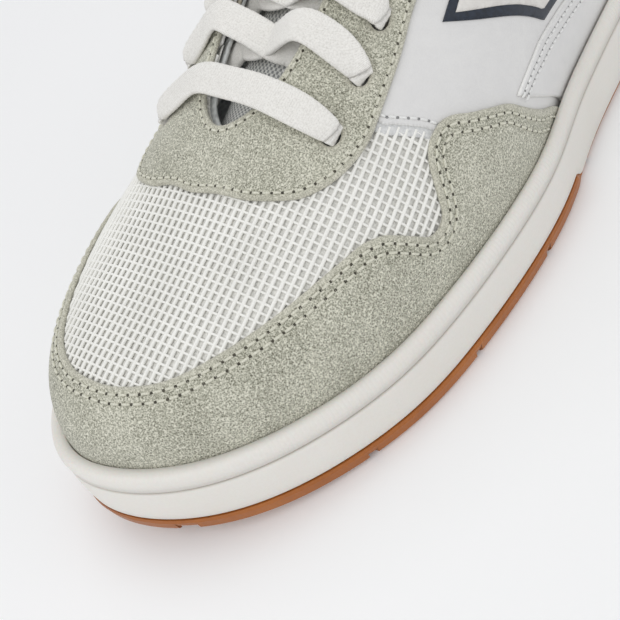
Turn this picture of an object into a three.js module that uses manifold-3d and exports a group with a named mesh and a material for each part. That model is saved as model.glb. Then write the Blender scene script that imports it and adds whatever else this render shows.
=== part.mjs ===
// Low-cut court shoe for the left foot: a lasted upper of mesh, leather and suede panels,
// cemented into a rubber cupsole on a gum outsole, with a padded tongue and a flat lace.
// Millimetres. Toe towards -Y, outer (lateral) side towards +X, ground at Z = 0.
import * as THREE from "three";
import { mergeVertices } from "three/addons/utils/BufferGeometryUtils.js";
import Module from "manifold-3d";

const wasm = await Module();
wasm.setup();

// ---------------------------------------------------------------- driving sizes
const LENGTH = 300;          // over the sole
const WIDTH = 111;           // over the ball of the foot
const COLLAR_HEIGHT = 93;    // ground to the back of the collar
const GAP = 0.3;             // between pieces that touch

const OUTSOLE_HEIGHT = 4.8;
const GROOVE_DEPTH = 2.0;
const GROOVE_WIDTH = 2.4;
const GROOVE_PITCH = 12;
const CHEVRON_RISE = 7;      // how far a groove runs forward to its middle
const FLOOR = 2.9;           // floor of the cupsole
const WALL_HEIGHT = 23;      // top of the cupsole's wall at the forefoot
const HEEL_RISE = 6;         // how much higher the wall and the seat are at the heel
const CUP_WALL = 4.4;        // wall of the cupsole below the seat
const SEAT = 12;             // where the lasted upper stands, at the forefoot
const TOE_SPRING = 8.5;
const SPRING_START = 85;     // distance in front of the centre where the toe spring begins
const BOARD = 1.4;
const SOCKLINER = 4;

const UPPER_INSET = 6.5;     // base of the upper inside the sole's edge
const BASE = 1.0;            // vamp mesh and quarter leather
const OVERLAY = 1.0;         // suede and foxing on top of them
const INTERLAYER = 0.7;      // puff, counter, backing and reinforcement below them
const LINING = 0.9;
const COLLAR_FOAM = 7;
const STRIPE_THICKNESS = 0.6;
const BINDING = 1.2;

const EYELET_RADIUS = 2.6;
const TONGUE_FACE = 1.0;
const TONGUE_FOAM = 3.0;
const TONGUE_LINING = 0.8;
const TONGUE_SPLIT = 1.6;    // room for the hinge line of the tongue's free top
const LACE_WIDTH = 7.6;
const LACE_THICKNESS = 1.5;
const AGLET_RADIUS = 1.6;
const AGLET_LENGTH = 18;

// ---------------------------------------------------------------- the last
// Base pattern, drawn at 300 x 111 x 93 and graded to the sizes above. One row per station, heel
// centre first, then the lateral side, the toe and the medial side, as control points of a closed
// cubic B-spline: sole outline x, y | topline x, y, z | lean of the topline in degrees |
// handle at the base | handle at the topline | bulge over the base.
const PATTERN = { length: 300, width: 111, collar: 93 };
const STATIONS = [
  [1.5, 151, 1, 136, 94, 100, 0.42, 0.40, 6.0],
  [23, 146, 18, 130, 91, 97, 0.42, 0.38, 6.0],
  [38, 122.5, 28, 112, 84, 95, 0.42, 0.36, 6.0],
  [41.5, 95.5, 31, 90, 76, 92, 0.42, 0.35, 5.5],
  [41.5, 65, 32, 68, 74, 88, 0.42, 0.35, 5.0],
  [43.5, 41, 29, 46, 84, 76, 0.42, 0.35, 4.5],
  [47.5, 11, 20, 26, 104, 55, 0.42, 0.36, 5.0],
  [54.5, -12, 16, 0, 96, 48, 0.42, 0.38, 5.0],
  [56, -40, 14, -26, 84, 38, 0.45, 0.42, 4.5],
  [54.5, -68, 11, -46, 74, 26, 0.52, 0.48, 4.0],
  [51, -90, 5, -58, 69.3, 12, 0.60, 0.54, 3.5],
  [36.5, -123, 0, -61.5, 68, 9, 0.70, 0.61, 2.5],
  [18, -143.5, -2, -62.5, 67.6, 8, 0.78, 0.67, 2.0],
  [-7, -152.5, -4, -62.8, 67.5, 8, 0.80, 0.69, 2.0],
  [-27, -144, -6, -62.5, 67.6, 8, 0.80, 0.67, 2.5],
  [-42, -129, -8, -61.5, 68, 9, 0.76, 0.63, 3.5],
  [-52, -102, -13, -57, 69.8, 12, 0.68, 0.57, 4.0],
  [-56.5, -75.5, -16, -45, 74.5, 24, 0.56, 0.50, 4.0],
  [-51.5, -45.5, -17, -26, 84, 36, 0.48, 0.45, 4.5],
  [-43.5, -11.5, -18, 0, 96, 44, 0.42, 0.42, 5.0],
  [-38, 20.5, -21, 26, 104, 55, 0.42, 0.38, 4.5],
  [-38.5, 50, -28, 46, 84, 76, 0.42, 0.35, 4.5],
  [-39.5, 80.5, -29, 70, 76, 88, 0.42, 0.35, 5.0],
  [-40, 108.5, -28, 96, 77, 92, 0.42, 0.35, 5.5],
  [-33.5, 132.5, -22, 118, 86, 95, 0.42, 0.38, 6.0],
  [-17.5, 146.5, -11, 133, 92, 98, 0.42, 0.40, 6.0],
];
const RIDGE_SLOPE = 0.33;    // fall of the instep towards the toe
const AROUND = STATIONS.length;
const COLUMNS_PER_STATION = 2;
const ROWS = 5;

const grade = { x: WIDTH / PATTERN.width, y: LENGTH / PATTERN.length };
const gradeHeight = (z) => SEAT + (z - SEAT) * (COLLAR_HEIGHT - SEAT) / (PATTERN.collar - SEAT);
const clamp = (value) => Math.min(Math.max(value, 0), 1);
const smooth = (value) => clamp(value) ** 2 * (3 - 2 * clamp(value));
const wrapStation = (u) => ((u % AROUND) + AROUND) % AROUND;

// Weights of a uniform cubic B-spline and of its slope.
function splineWeights(t) {
  return [(1 - t) ** 3 / 6, (3 * t ** 3 - 6 * t ** 2 + 4) / 6,
    (-3 * t ** 3 + 3 * t ** 2 + 3 * t + 1) / 6, t ** 3 / 6];
}
function slopeWeights(t) {
  return [-((1 - t) ** 2) / 2, (3 * t ** 2 - 4 * t) / 2, (-3 * t ** 2 + 2 * t + 1) / 2, t ** 2 / 2];
}
function stationRow(u, weights) {
  const first = Math.floor(u);
  const share = weights(u - first);
  return STATIONS[0].map((_, column) => share.reduce((sum, weight, k) =>
    sum + weight * STATIONS[wrapStation(first - 1 + k)][column], 0));
}

const springAt = (y) =>
  TOE_SPRING * Math.max(0, (-y - SPRING_START) / (LENGTH / 2 - SPRING_START)) ** 2;
const heelShare = (y) => smooth((y / grade.y - 20) / 100);
const seatAt = (y) => SEAT + springAt(y) + HEEL_RISE * heelShare(y);

// A point of the sole's outline at station u, moved outwards by the given distance.
function outlinePoint(u, outwards) {
  const place = stationRow(u, splineWeights);
  const slope = stationRow(u, slopeWeights);
  const dx = slope[0] * grade.x;
  const dy = slope[1] * grade.y;
  const size = Math.hypot(dx, dy);
  return new THREE.Vector2(place[0] * grade.x - (dy / size) * outwards,
    place[1] * grade.y + (dx / size) * outwards);
}

// The upper's profile at station u: a Bezier curve from the seat (v = 0) to the topline (v = 1).
function profile(u) {
  const [, , x, y, z, lean, lowHandle, highHandle, bulge] = stationRow(u, splineWeights);
  const foot = outlinePoint(u, -UPPER_INSET);
  const base = new THREE.Vector3(foot.x, foot.y, seatAt(foot.y));
  const top = new THREE.Vector3(x * grade.x, y * grade.y, gradeHeight(z));
  const out = new THREE.Vector3(base.x - top.x, base.y - top.y, 0);
  const reach = Math.hypot(out.length(), top.z - base.z) * highHandle;
  out.normalize();
  const angle = THREE.MathUtils.degToRad(lean);
  const low = base.clone().addScaledVector(out, bulge);
  low.z += lowHandle * (top.z - base.z);
  const high = top.clone().addScaledVector(out, reach * Math.cos(angle));
  high.z += reach * (RIDGE_SLOPE * out.y * Math.max(Math.cos(angle), 0) - Math.sin(angle));
  return { curve: new THREE.CubicBezierCurve3(base, low, high, top), out };
}

// Padding under the collar's topline, as a share of the foam's thickness.
function padShare(u, v) {
  const fromHeel = Math.min(wrapStation(u), AROUND - wrapStation(u));
  const along = 1 - smooth((fromHeel - 4.3) / 1.3);
  return along * (smooth((v - 0.5) / 0.3) - 0.5 * smooth((v - 0.85) / 0.2));
}

// The surface of the last as a net of columns and rows, with the place that each node has in the
// flat pattern: the topline keeps its place and every profile is unrolled outwards from it.
const COLUMNS = AROUND * COLUMNS_PER_STATION;
const net = [];
for (let column = 0; column < COLUMNS; column += 1) {
  const u = column / COLUMNS_PER_STATION;
  const { curve, out } = profile(u);
  const lengths = curve.getLengths(60);
  const lengthAt = (v) => lengths[Math.round(v * 60)];
  net.push([]);
  for (let row = 0; row <= ROWS; row += 1) {
    const v = row / ROWS;
    const unrolled = lengthAt(1) - lengthAt(v);
    net[column].push({
      u, v, place: curve.getPoint(v), pad: padShare(u, v) * COLLAR_FOAM,
      flat: new THREE.Vector2(curve.v3.x + out.x * unrolled, curve.v3.y + out.y * unrolled),
    });
  }
}
const node = (column, row) => net[(column + COLUMNS) % COLUMNS][row];
for (let column = 0; column < COLUMNS; column += 1) {
  for (let row = 0; row <= ROWS; row += 1) {
    const along = node(column + 1, row).place.clone().sub(node(column - 1, row).place);
    const above = node(column, Math.min(row + 1, ROWS)).place;
    const up = above.clone().sub(node(column, Math.max(row - 1, 0)).place);
    node(column, row).normal = along.cross(up).normalize().negate();
  }
}
const cells = [];
for (let column = 0; column < COLUMNS; column += 1) {
  for (let row = 0; row < ROWS; row += 1) {
    const [here, far] = [node(column, row), node(column + 1, row + 1)];
    cells.push([here, node(column + 1, row), far], [here, far, node(column, row + 1)]);
  }
}

// Where (u, v) lies in the flat pattern. Past the seat or the topline it runs on by itself.
const RUN_ON = 60;
function flatPoint([u, v]) {
  const { curve, out } = profile(wrapStation(u));
  const inside = clamp(v);
  const lengths = curve.getLengths(100);
  const unrolled = lengths[100] - lengths[Math.round(inside * 100)] + (inside - v) * RUN_ON;
  return new THREE.Vector2(curve.v3.x + out.x * unrolled, curve.v3.y + out.y * unrolled);
}
// The surface at (u, v), moved outwards by the given depth.
function surfacePoint(u, v, depth) {
  const step = 0.02;
  const at = (a, b) => profile(wrapStation(a)).curve.getPoint(clamp(b));
  const along = at(u + step, v).sub(at(u - step, v));
  const up = at(u, v + step).sub(at(u, v - step));
  return at(u, v).addScaledVector(along.cross(up).normalize().negate(), depth);
}

// ---------------------------------------------------------------- making solids
function geometryFrom(points, triangles) {
  const geometry = new THREE.BufferGeometry();
  const volume = triangles.reduce((sum, [a, b, c]) =>
    sum + points[a].dot(points[b].clone().cross(points[c])), 0);
  const facing = volume > 0 ? triangles : triangles.map(([a, b, c]) => [a, c, b]);
  geometry.setAttribute("position", new THREE.Float32BufferAttribute(points.flatMap((p) => p.toArray()), 3));
  geometry.setIndex(facing.flat());
  return geometry;
}
function toSolid(geometry) {
  const bare = geometry.clone();
  bare.deleteAttribute("normal");
  bare.deleteAttribute("uv");
  const merged = mergeVertices(bare, 1e-4);
  return new wasm.Manifold(new wasm.Mesh({
    numProp: 3,
    vertProperties: merged.attributes.position.array,
    triVerts: new Uint32Array(merged.index.array),
  }));
}
function toGeometry(solid) {
  const mesh = solid.getMesh();
  const geometry = new THREE.BufferGeometry();
  geometry.setAttribute("position", new THREE.BufferAttribute(mesh.vertProperties, 3));
  geometry.setIndex(new THREE.BufferAttribute(mesh.triVerts, 1));
  return geometry;
}
// A closed skin over a stack of rings with the same number of points. Each end is closed by rungs
// across the ring, from the heel to the toe, so that it may follow the toe spring.
function loft(rings) {
  const count = rings[0].length;
  const points = rings.flat();
  const triangles = [];
  for (let ring = 0; ring < rings.length - 1; ring += 1) {
    for (let i = 0; i < count; i += 1) {
      const [a, b] = [ring * count + i, ring * count + (i + 1) % count];
      triangles.push([a, b, b + count], [a, b + count, a + count]);
    }
  }
  for (const [start, turned] of [[0, true], [(rings.length - 1) * count, false]]) {
    for (let i = 0; i < count / 2; i += 1) {
      const rung = [i, i + 1, (count - i - 1) % count, (count - i) % count].map((k) => start + k);
      for (const [a, b, c] of [[rung[0], rung[1], rung[2]], [rung[0], rung[2], rung[3]]]) {
        if (a !== b && b !== c && a !== c) triangles.push(turned ? [a, c, b] : [a, b, c]);
      }
    }
  }
  return geometryFrom(points, triangles);
}
function soleRing(outwards, heightAt) {
  return Array.from({ length: COLUMNS }, (_, column) => {
    const { x, y } = outlinePoint(column / COLUMNS_PER_STATION, outwards);
    return new THREE.Vector3(x, y, heightAt(y));
  });
}
// A closed skin between two sides of a sheet given as a net of point pairs [near, far].
function sheet(pairs) {
  const [rows, columns] = [pairs.length, pairs[0].length];
  const points = pairs.flat(2);
  const index = (row, column, side) => (row * columns + column) * 2 + side;
  const triangles = [];
  const quad = (...corners) => {
    const [a, b, c, d] = corners.map((corner) => index(...corner));
    triangles.push([a, b, c], [a, c, d]);
  };
  const [lastRow, lastColumn] = [rows - 1, columns - 1];
  for (let row = 0; row < lastRow; row += 1) {
    for (let column = 0; column < lastColumn; column += 1) {
      quad([row, column, 0], [row, column + 1, 0], [row + 1, column + 1, 0], [row + 1, column, 0]);
      quad([row, column, 1], [row + 1, column, 1], [row + 1, column + 1, 1], [row, column + 1, 1]);
    }
  }
  for (let row = 0; row < lastRow; row += 1) {
    quad([row, 0, 0], [row + 1, 0, 0], [row + 1, 0, 1], [row, 0, 1]);
    quad([row, lastColumn, 0], [row, lastColumn, 1], [row + 1, lastColumn, 1], [row + 1, lastColumn, 0]);
  }
  for (let column = 0; column < lastColumn; column += 1) {
    quad([0, column, 0], [0, column, 1], [0, column + 1, 1], [0, column + 1, 0]);
    quad([lastRow, column, 0], [lastRow, column + 1, 0], [lastRow, column + 1, 1], [lastRow, column, 1]);
  }
  return geometryFrom(points, triangles);
}

// ---------------------------------------------------------------- cutting and lasting a panel
// A slab of the whole flat pattern, dished so that no two cells lie in one plane.
const DISH = 0.001;
const dishAt = (flat) => DISH * flat.lengthSq();
function patternSlab() {
  const pairs = [];
  for (let column = 0; column <= COLUMNS; column += 1) {
    pairs.push([]);
    for (let row = 0; row <= ROWS; row += 1) {
      const { flat } = node(column, row);
      pairs[column].push([0, 1].map((side) => new THREE.Vector3(flat.x, flat.y, dishAt(flat) + side)));
    }
  }
  const rings = [];
  const count = ROWS + 1;
  for (let column = 0; column < COLUMNS; column += 1) {
    const low = pairs[column].map(([near]) => near);
    const high = pairs[column].map(([, far]) => far).reverse();
    rings.push([...low, ...high]);
  }
  const points = rings.flat();
  const triangles = [];
  for (let column = 0; column < COLUMNS; column += 1) {
    const [here, next] = [column * 2 * count, ((column + 1) % COLUMNS) * 2 * count];
    for (let i = 0; i < 2 * count; i += 1) {
      const j = (i + 1) % (2 * count);
      // both sides of the slab are split along the same diagonal as the cells
      if (i < count) triangles.push([here + i, next + i, next + j], [here + i, next + j, here + j]);
      else triangles.push([here + i, next + i, here + j], [next + i, next + j, here + j]);
    }
  }
  return toSolid(geometryFrom(points, triangles));
}
const slab = patternSlab();

function locate(x, y) {
  let best = null;
  for (const cell of cells) {
    const [a, b, c] = cell.map((corner) => corner.flat);
    const area = (b.x - a.x) * (c.y - a.y) - (c.x - a.x) * (b.y - a.y);
    const second = ((x - a.x) * (c.y - a.y) - (c.x - a.x) * (y - a.y)) / area;
    const third = ((b.x - a.x) * (y - a.y) - (x - a.x) * (b.y - a.y)) / area;
    const worst = Math.min(second, third, 1 - second - third);
    if (!best || worst > best.worst) best = { worst, cell, share: [1 - second - third, second, third] };
    if (worst > 0) break;
  }
  return best;
}
const CUTTER = 400;          // depth of a cutter, which passes through the whole slab
const CUTTER_START = 100;    // how far it starts below the slab
// Cuts an outline out of the slab and lasts it: near and far are functions of the padding that
// give the depths of its inner and outer side.
function lastedPanel(outlines, near, far, holes = []) {
  let cutter = null;
  for (const outline of outlines) {
    const geometry = new THREE.ExtrudeGeometry(outline,
      { depth: CUTTER, bevelEnabled: false, curveSegments: 3 });
    geometry.translate(0, 0, -CUTTER_START);
    const piece = toSolid(geometry);
    cutter = cutter ? cutter.add(piece) : piece;
  }
  let cut = slab.intersect(cutter);
  for (const hole of holes) cut = cut.subtract(hole);
  const mesh = cut.getMesh();
  const points = [];
  for (let i = 0; i < mesh.vertProperties.length; i += 3) {
    const [x, y, z] = mesh.vertProperties.slice(i, i + 3);
    const { cell, share } = locate(x, y);
    const mix = (value) => share.reduce((sum, weight, k) => sum + weight * value(cell[k]), 0);
    const outer = z - mix((corner) => dishAt(corner.flat)) > 0.5;
    const depth = (corner) => (outer ? far : near)(corner.pad);
    points.push(new THREE.Vector3(
      mix((corner) => corner.place.x + corner.normal.x * depth(corner)),
      mix((corner) => corner.place.y + corner.normal.y * depth(corner)),
      mix((corner) => corner.place.z + corner.normal.z * depth(corner))));
  }
  const triangles = [];
  for (let i = 0; i < mesh.triVerts.length; i += 3) triangles.push([...mesh.triVerts.slice(i, i + 3)]);
  return geometryFrom(points, triangles);
}
// An outline through (u, v) points: each list is one smooth edge, and edges meet in corners.
function outlineThrough(...edges) {
  const shape = new THREE.Shape();
  edges.forEach((edge, k) => {
    const points = edge.map(flatPoint);
    if (k === 0) shape.moveTo(points[0].x, points[0].y);
    else shape.lineTo(points[0].x, points[0].y);
    if (points.length > 1) shape.splineThru(points.slice(1));
  });
  return shape;
}
const mirrored = (edge) => edge.map(([u, v]) => [AROUND - u, v]).reverse();
const moved = (edge, du, dv) => edge.map(([u, v]) => [u + du, v + dv]);
// Corner points along the base of the upper, outside it, from station a to station b.
function belowSeat(a, b) {
  const steps = Math.round(Math.abs(b - a));
  return Array.from({ length: steps + 1 }, (_, k) => [[a + (b - a) * k / steps, -0.15]]);
}

const depths = {
  overlay: [() => GAP, () => GAP + OVERLAY],
  base: [() => -BASE, () => 0],
  interlayer: [() => -BASE - GAP - INTERLAYER, () => -BASE - GAP],
};
const LINING_DEPTH = BASE + INTERLAYER + 2 * GAP;
depths.stripe = [() => GAP, () => GAP + STRIPE_THICKNESS];
depths.stripeFace = depths.stripe.map((side) => () => side() + GAP + STRIPE_THICKNESS);
depths.foam = [(pad) => -BASE - GAP - INTERLAYER - pad, () => -BASE - GAP];
depths.lining = [(pad) => -LINING_DEPTH - LINING - pad, (pad) => -LINING_DEPTH - pad];

// ---------------------------------------------------------------- materials
const finish = (colour, roughness, metalness = 0) =>
  new THREE.MeshStandardMaterial({ color: colour, roughness, metalness });
const materials = {
  gum: finish(0xb4682b, 0.6),
  rubber: finish(0xece9e2, 0.55),
  foam: finish(0xf2efe6, 0.9),
  board: finish(0xd9cfb8, 0.9),
  suede: finish(0xb9bfae, 0.95),
  leather: finish(0xeeeeec, 0.5),
  mesh: finish(0xeceded, 0.85),
  textile: finish(0xc9cccb, 0.9),
  navy: finish(0x1d2a3a, 0.5),
  stiffener: finish(0xcfc8b6, 0.8),
  lace: finish(0xf1f0ec, 0.9),
  aglet: finish(0xf4f4f2, 0.3),
};
const shoe = new THREE.Group();
function addPiece(name, geometry, material, parent = shoe) {
  geometry.computeVertexNormals();
  const mesh = new THREE.Mesh(geometry, material);
  mesh.name = name;
  parent.add(mesh);
}

// ---------------------------------------------------------------- sole unit
const cupHeight = (z) => (y) => z * (1 + heelShare(y) * HEEL_RISE / WALL_HEIGHT) + springAt(y);
const level = (z) => (y) => z + springAt(y);

function makeOutsole() {
  const edge = [[-1.4, 0], [-0.5, 0.9], [-0.1, OUTSOLE_HEIGHT - 1], [-0.4, OUTSOLE_HEIGHT]];
  let sole = toSolid(loft(edge.map(([outwards, z]) => soleRing(outwards, level(z)))));
  const reach = WIDTH / 2 + 5;
  const last = LENGTH / 2 - 14;
  const half = GROOVE_WIDTH / 2;
  for (let y = -last; y <= last; y += GROOVE_PITCH) {
    const corners = [[-reach, y - half], [0, y - half - CHEVRON_RISE], [reach, y - half],
      [reach, y + half], [0, y + half - CHEVRON_RISE], [-reach, y + half]];
    const chevron = new THREE.Shape(corners.map((at) => new THREE.Vector2(...at)));
    const below = 12;
    const groove = new THREE.ExtrudeGeometry(chevron, { depth: GROOVE_DEPTH + below, bevelEnabled: false });
    groove.translate(0, 0, springAt(y - CHEVRON_RISE / 2) - below);
    sole = sole.subtract(toSolid(groove));
  }
  return toGeometry(sole);
}
function upperEnvelope(depth) {
  const rings = [];
  const ringAt = (row, drop) => net.map((column) => {
    const { place, normal } = column[row];
    return place.clone().addScaledVector(normal, depth).setZ(place.z + normal.z * depth - drop);
  });
  rings.push(ringAt(0, 1));
  for (let row = 0; row <= ROWS; row += 1) rings.push(ringAt(row, 0));
  return toSolid(loft(rings));
}
function makeCupsole() {
  const under = OUTSOLE_HEIGHT + GAP;
  const side = [[-0.7, under], [-0.3, under + 2.5], [-0.6, 13], [-0.9, 16.8], [-1.9, 17.3],
    [-1.0, 17.9], [-1.2, WALL_HEIGHT - 3], [-2.0, WALL_HEIGHT - 1], [-3.3, WALL_HEIGHT]];
  const block = toSolid(loft(side.map(([outwards, z]) =>
    soleRing(outwards, z === under ? level(z) : cupHeight(z)))));
  const well = toSolid(loft([[under + FLOOR, level], [SEAT + HEEL_RISE, level]].map(([z]) =>
    soleRing(-CUP_WALL, z > SEAT ? (y) => seatAt(y) - 0.2 : level(z)))));
  return toGeometry(block.subtract(well).subtract(upperEnvelope(2 * GAP + OVERLAY)));
}
addPiece("outsole", makeOutsole(), materials.gum);
addPiece("cupsole", makeCupsole(), materials.rubber);

const midsoleFloor = OUTSOLE_HEIGHT + 2 * GAP + FLOOR;
addPiece("midsole_foam", loft([
  soleRing(-CUP_WALL - GAP, level(midsoleFloor)),
  soleRing(-CUP_WALL - GAP, (y) => seatAt(y) - 3 * GAP),
]), materials.foam);
const insideUpper = UPPER_INSET + LINING_DEPTH + LINING + GAP;
addPiece("insole_board", loft([
  soleRing(-insideUpper, (y) => seatAt(y) - GAP),
  soleRing(-insideUpper, (y) => seatAt(y) - GAP + BOARD),
]), materials.board);
addPiece("sockliner", loft([
  soleRing(-insideUpper - 2 * GAP, (y) => seatAt(y) + BOARD),
  soleRing(-insideUpper - 2 * GAP, (y) => seatAt(y) + BOARD + SOCKLINER),
]), materials.textile);

// ---------------------------------------------------------------- panels of the upper
const FRONT_SEAM = [[8.95, 1.08], [8.75, 0.86], [8.58, 0.71], [8.4, 0.64], [8.13, 0.53], [7.92, 0.35],
  [7.8, 0.1], [7.75, -0.15]];
const SEAM_SHIFT = 0.02;
function frontPanel(seam) {
  return outlineThrough(seam, ...belowSeat(8, AROUND - 8), mirrored(seam));
}

// Eyelets: one row along each side of the throat, lowest first.
const EYELETS = [[9.12, 0.8], [8.43, 0.82], [7.9, 0.84], [7.43, 0.84], [6.97, 0.84], [6.5, 0.84],
  [6.03, 0.84]];
const EYELET_SIDES = 6;
const sides = { lateral: (u) => u, medial: (u) => AROUND - u };
function eyeletHoles() {
  return Object.values(sides).flatMap((side) => EYELETS.map(([u, v]) => {
    const at = flatPoint([side(u), v]);
    const punch = new THREE.CylinderGeometry(EYELET_RADIUS, EYELET_RADIUS, CUTTER, EYELET_SIDES);
    punch.rotateX(Math.PI / 2);
    punch.translate(at.x, at.y, CUTTER / 2 - CUTTER_START);
    return toSolid(punch);
  }));
}
const punches = eyeletHoles();

addPiece("vamp_mesh", lastedPanel([frontPanel(FRONT_SEAM)], ...depths.base, punches), materials.mesh);
addPiece("vamp_lining", lastedPanel([frontPanel(FRONT_SEAM)], ...depths.lining, punches), materials.textile);

// One side of the upper, drawn for the lateral side; the medial side is its mirror image.
const lateralSeam = moved(FRONT_SEAM, -SEAM_SHIFT, 0);
const HEEL_SEAM = 0.04;
const TOP = 1.12;            // above the topline, so that a panel ends at it
const sideEdges = [lateralSeam, ...belowSeat(7, HEEL_SEAM),
  ...[0, 1, 2, 3, 4, 5, 6, 7, 8].map((u) => [[Math.max(u, HEEL_SEAM), TOP]])];
const REINFORCEMENT = [[[8.4, TOP], [8.25, 0.72]], [[7.9, 0.72]], [[7.2, 0.72]], [[6.5, 0.71]], [[6, 0.72]],
  [[5.7, TOP]], [[6.5, TOP]], [[7.5, TOP]]];
const FOXING = [[[6.98, 0.31], [6.5, 0.31], [6, 0.31], [5, 0.31], [4, 0.3], [3.35, 0.29]],
  [[3.42, -0.15]], [[4.5, -0.15]], [[5.5, -0.15]], [[6.02, -0.15]], [[6.04, 0.06], [6.5, 0.19], [6.98, 0.31]]];
const STRIPE = [[[7.37, 0.67]], [[5.95, 0.335]], [[4.85, 0.37]], [[6.3, 0.71]]];
const STRIPE_FACE = [[[7.2, 0.648]], [[5.93, 0.368]], [[5.08, 0.398]], [[6.37, 0.685]]];
for (const [name, side] of Object.entries(sides)) {
  const panel = (edges, layer, holes) =>
    lastedPanel([outlineThrough(...edges.map((edge) => edge.map(([u, v]) => [side(u), v])))], ...layer, holes);
  addPiece(`quarter_${name}`, panel(sideEdges, depths.base, punches), materials.leather);
  addPiece(`quarter_lining_${name}`, panel(sideEdges, depths.lining, punches), materials.textile);
  addPiece(`eyelet_reinforcement_${name}`, panel(REINFORCEMENT, depths.interlayer, punches),
    materials.stiffener);
  addPiece(`foxing_${name}`, panel(FOXING, depths.overlay), materials.leather);
  addPiece(`side_stripe_${name}`, panel(STRIPE, depths.stripe), materials.navy);
  addPiece(`side_stripe_face_${name}`, panel(STRIPE_FACE, depths.stripeFace), materials.leather);
}

// Toe overlay with a raised wing on each side.
const WING = [[6.1, -0.15], [6.14, 0.06], [6.6, 0.17], [7.13, 0.32], [7.42, 0.39], [7.67, 0.45], [7.85, 0.5],
  [7.99, 0.525], [8.12, 0.53], [8.25, 0.52], [8.36, 0.48], [8.45, 0.39], [8.51, 0.33], [8.62, 0.31],
  [8.75, 0.32], [8.87, 0.36], [9.15, 0.45], [9.31, 0.48], [9.51, 0.5], [9.8, 0.505], [10.52, 0.49],
  [11.15, 0.47], [11.77, 0.45], [12.4, 0.455], [13, 0.465]];
addPiece("toe_overlay", lastedPanel([
  outlineThrough([...WING, ...mirrored(WING).slice(1)], ...belowSeat(AROUND - 7, 7)),
], ...depths.overlay), materials.suede);

// Eyestay: one U-shaped piece round the throat.
const EYESTAY = [[5.2, TOP], [5.3, 0.9], [5.7, 0.8], [6.4, 0.78], [7, 0.77], [7.48, 0.77], [7.95, 0.74],
  [8.42, 0.715], [8.78, 0.695], [9.2, 0.7], [9.6, 0.72], [10, 0.755], [10.65, 0.83], [11.6, 0.89], [13, 0.905]];
const THROAT_TOP = 1.06;
addPiece("eyestay", lastedPanel([outlineThrough([...EYESTAY, ...mirrored(EYESTAY).slice(1)],
  ...[AROUND - 7, AROUND - 9, AROUND - 11, 13, 11, 9, 7].map((u) => [[u, THROAT_TOP]])),
], ...depths.overlay, punches), materials.suede);

// Back of the upper.
const HEEL_OVERLAY = [[3.32, -0.15], [3.2, 0.16], [2.85, 0.38], [2.1, 0.5], [1.2, 0.55], [0, 0.57]];
const backMirror = (edge) => edge.map(([u, v]) => [-u, v]).reverse();
addPiece("heel_overlay", lastedPanel([outlineThrough([...HEEL_OVERLAY, ...backMirror(HEEL_OVERLAY).slice(1)],
  ...belowSeat(-3, 3))], ...depths.overlay), materials.suede);
const HEEL_TAB = [[1.25, TOP], [1.15, 0.8], [0.9, 0.66], [0, 0.62]];
addPiece("heel_tab", lastedPanel([outlineThrough([...HEEL_TAB, ...backMirror(HEEL_TAB).slice(1)], [[0, TOP]])],
  ...depths.overlay), materials.suede);
const COUNTER = [[3.2, -0.15], [3.05, 0.2], [2.4, 0.4], [1.2, 0.44], [0, 0.45]];
addPiece("heel_counter", lastedPanel([outlineThrough([...COUNTER, ...backMirror(COUNTER).slice(1)],
  ...belowSeat(-3, 3))], ...depths.interlayer), materials.stiffener);
const FOAM_EDGE = [[5.4, TOP], [5.2, 0.75], [4.4, 0.55], [2.5, 0.5], [0, 0.5]];
const collarStations = [-5, -4, -3, -2, -1, 0, 1, 2, 3, 4, 5];
addPiece("collar_foam", lastedPanel([outlineThrough([...FOAM_EDGE, ...backMirror(FOAM_EDGE).slice(1)],
  ...collarStations.map((u) => [[u, TOP]]))], ...depths.foam), materials.foam);

// Stiffener and backing between the vamp mesh and its lining.
const PUFF = [[10.2, -0.15], [10.4, 0.15], [11.2, 0.34], [13, 0.4]];
addPiece("toe_puff", lastedPanel([outlineThrough([...PUFF, ...mirrored(PUFF).slice(1)], ...belowSeat(15, 11))],
  ...depths.interlayer), materials.stiffener);
const BACKING_LOW = [[8.6, 0.3], [9.6, 0.34], [10.5, 0.38], [11.5, 0.42], [13, 0.44]];
const backingSeam = moved(FRONT_SEAM.slice(0, 6), 0.04, 0);
addPiece("vamp_backing", lastedPanel([
  outlineThrough(backingSeam, [...BACKING_LOW, ...mirrored(BACKING_LOW).slice(1)], mirrored(backingSeam)),
], ...depths.interlayer, punches), materials.textile);

// Binding over the padded topline, from one end of the eyestay to the other.
const BINDING_END = 5.1;
const BINDING_STEPS = 34;
function makeBinding() {
  const pairs = [];
  for (let k = 0; k <= BINDING_STEPS; k += 1) {
    const u = BINDING_END * (2 * k / BINDING_STEPS - 1);
    const top = surfacePoint(u, 1, 0);
    const up = top.clone().sub(surfacePoint(u, 0.96, 0)).normalize();
    const inner = surfacePoint(u, 1, -LINING_DEPTH - LINING - padShare(wrapStation(u), 1) * COLLAR_FOAM);
    const rises = [2 * GAP, 2 * GAP + BINDING];
    pairs.push([top, inner].map((edge) => rises.map((rise) => edge.clone().addScaledVector(up, rise))));
  }
  return sheet(pairs);
}
addPiece("topline_binding", makeBinding(), materials.leather);

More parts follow.
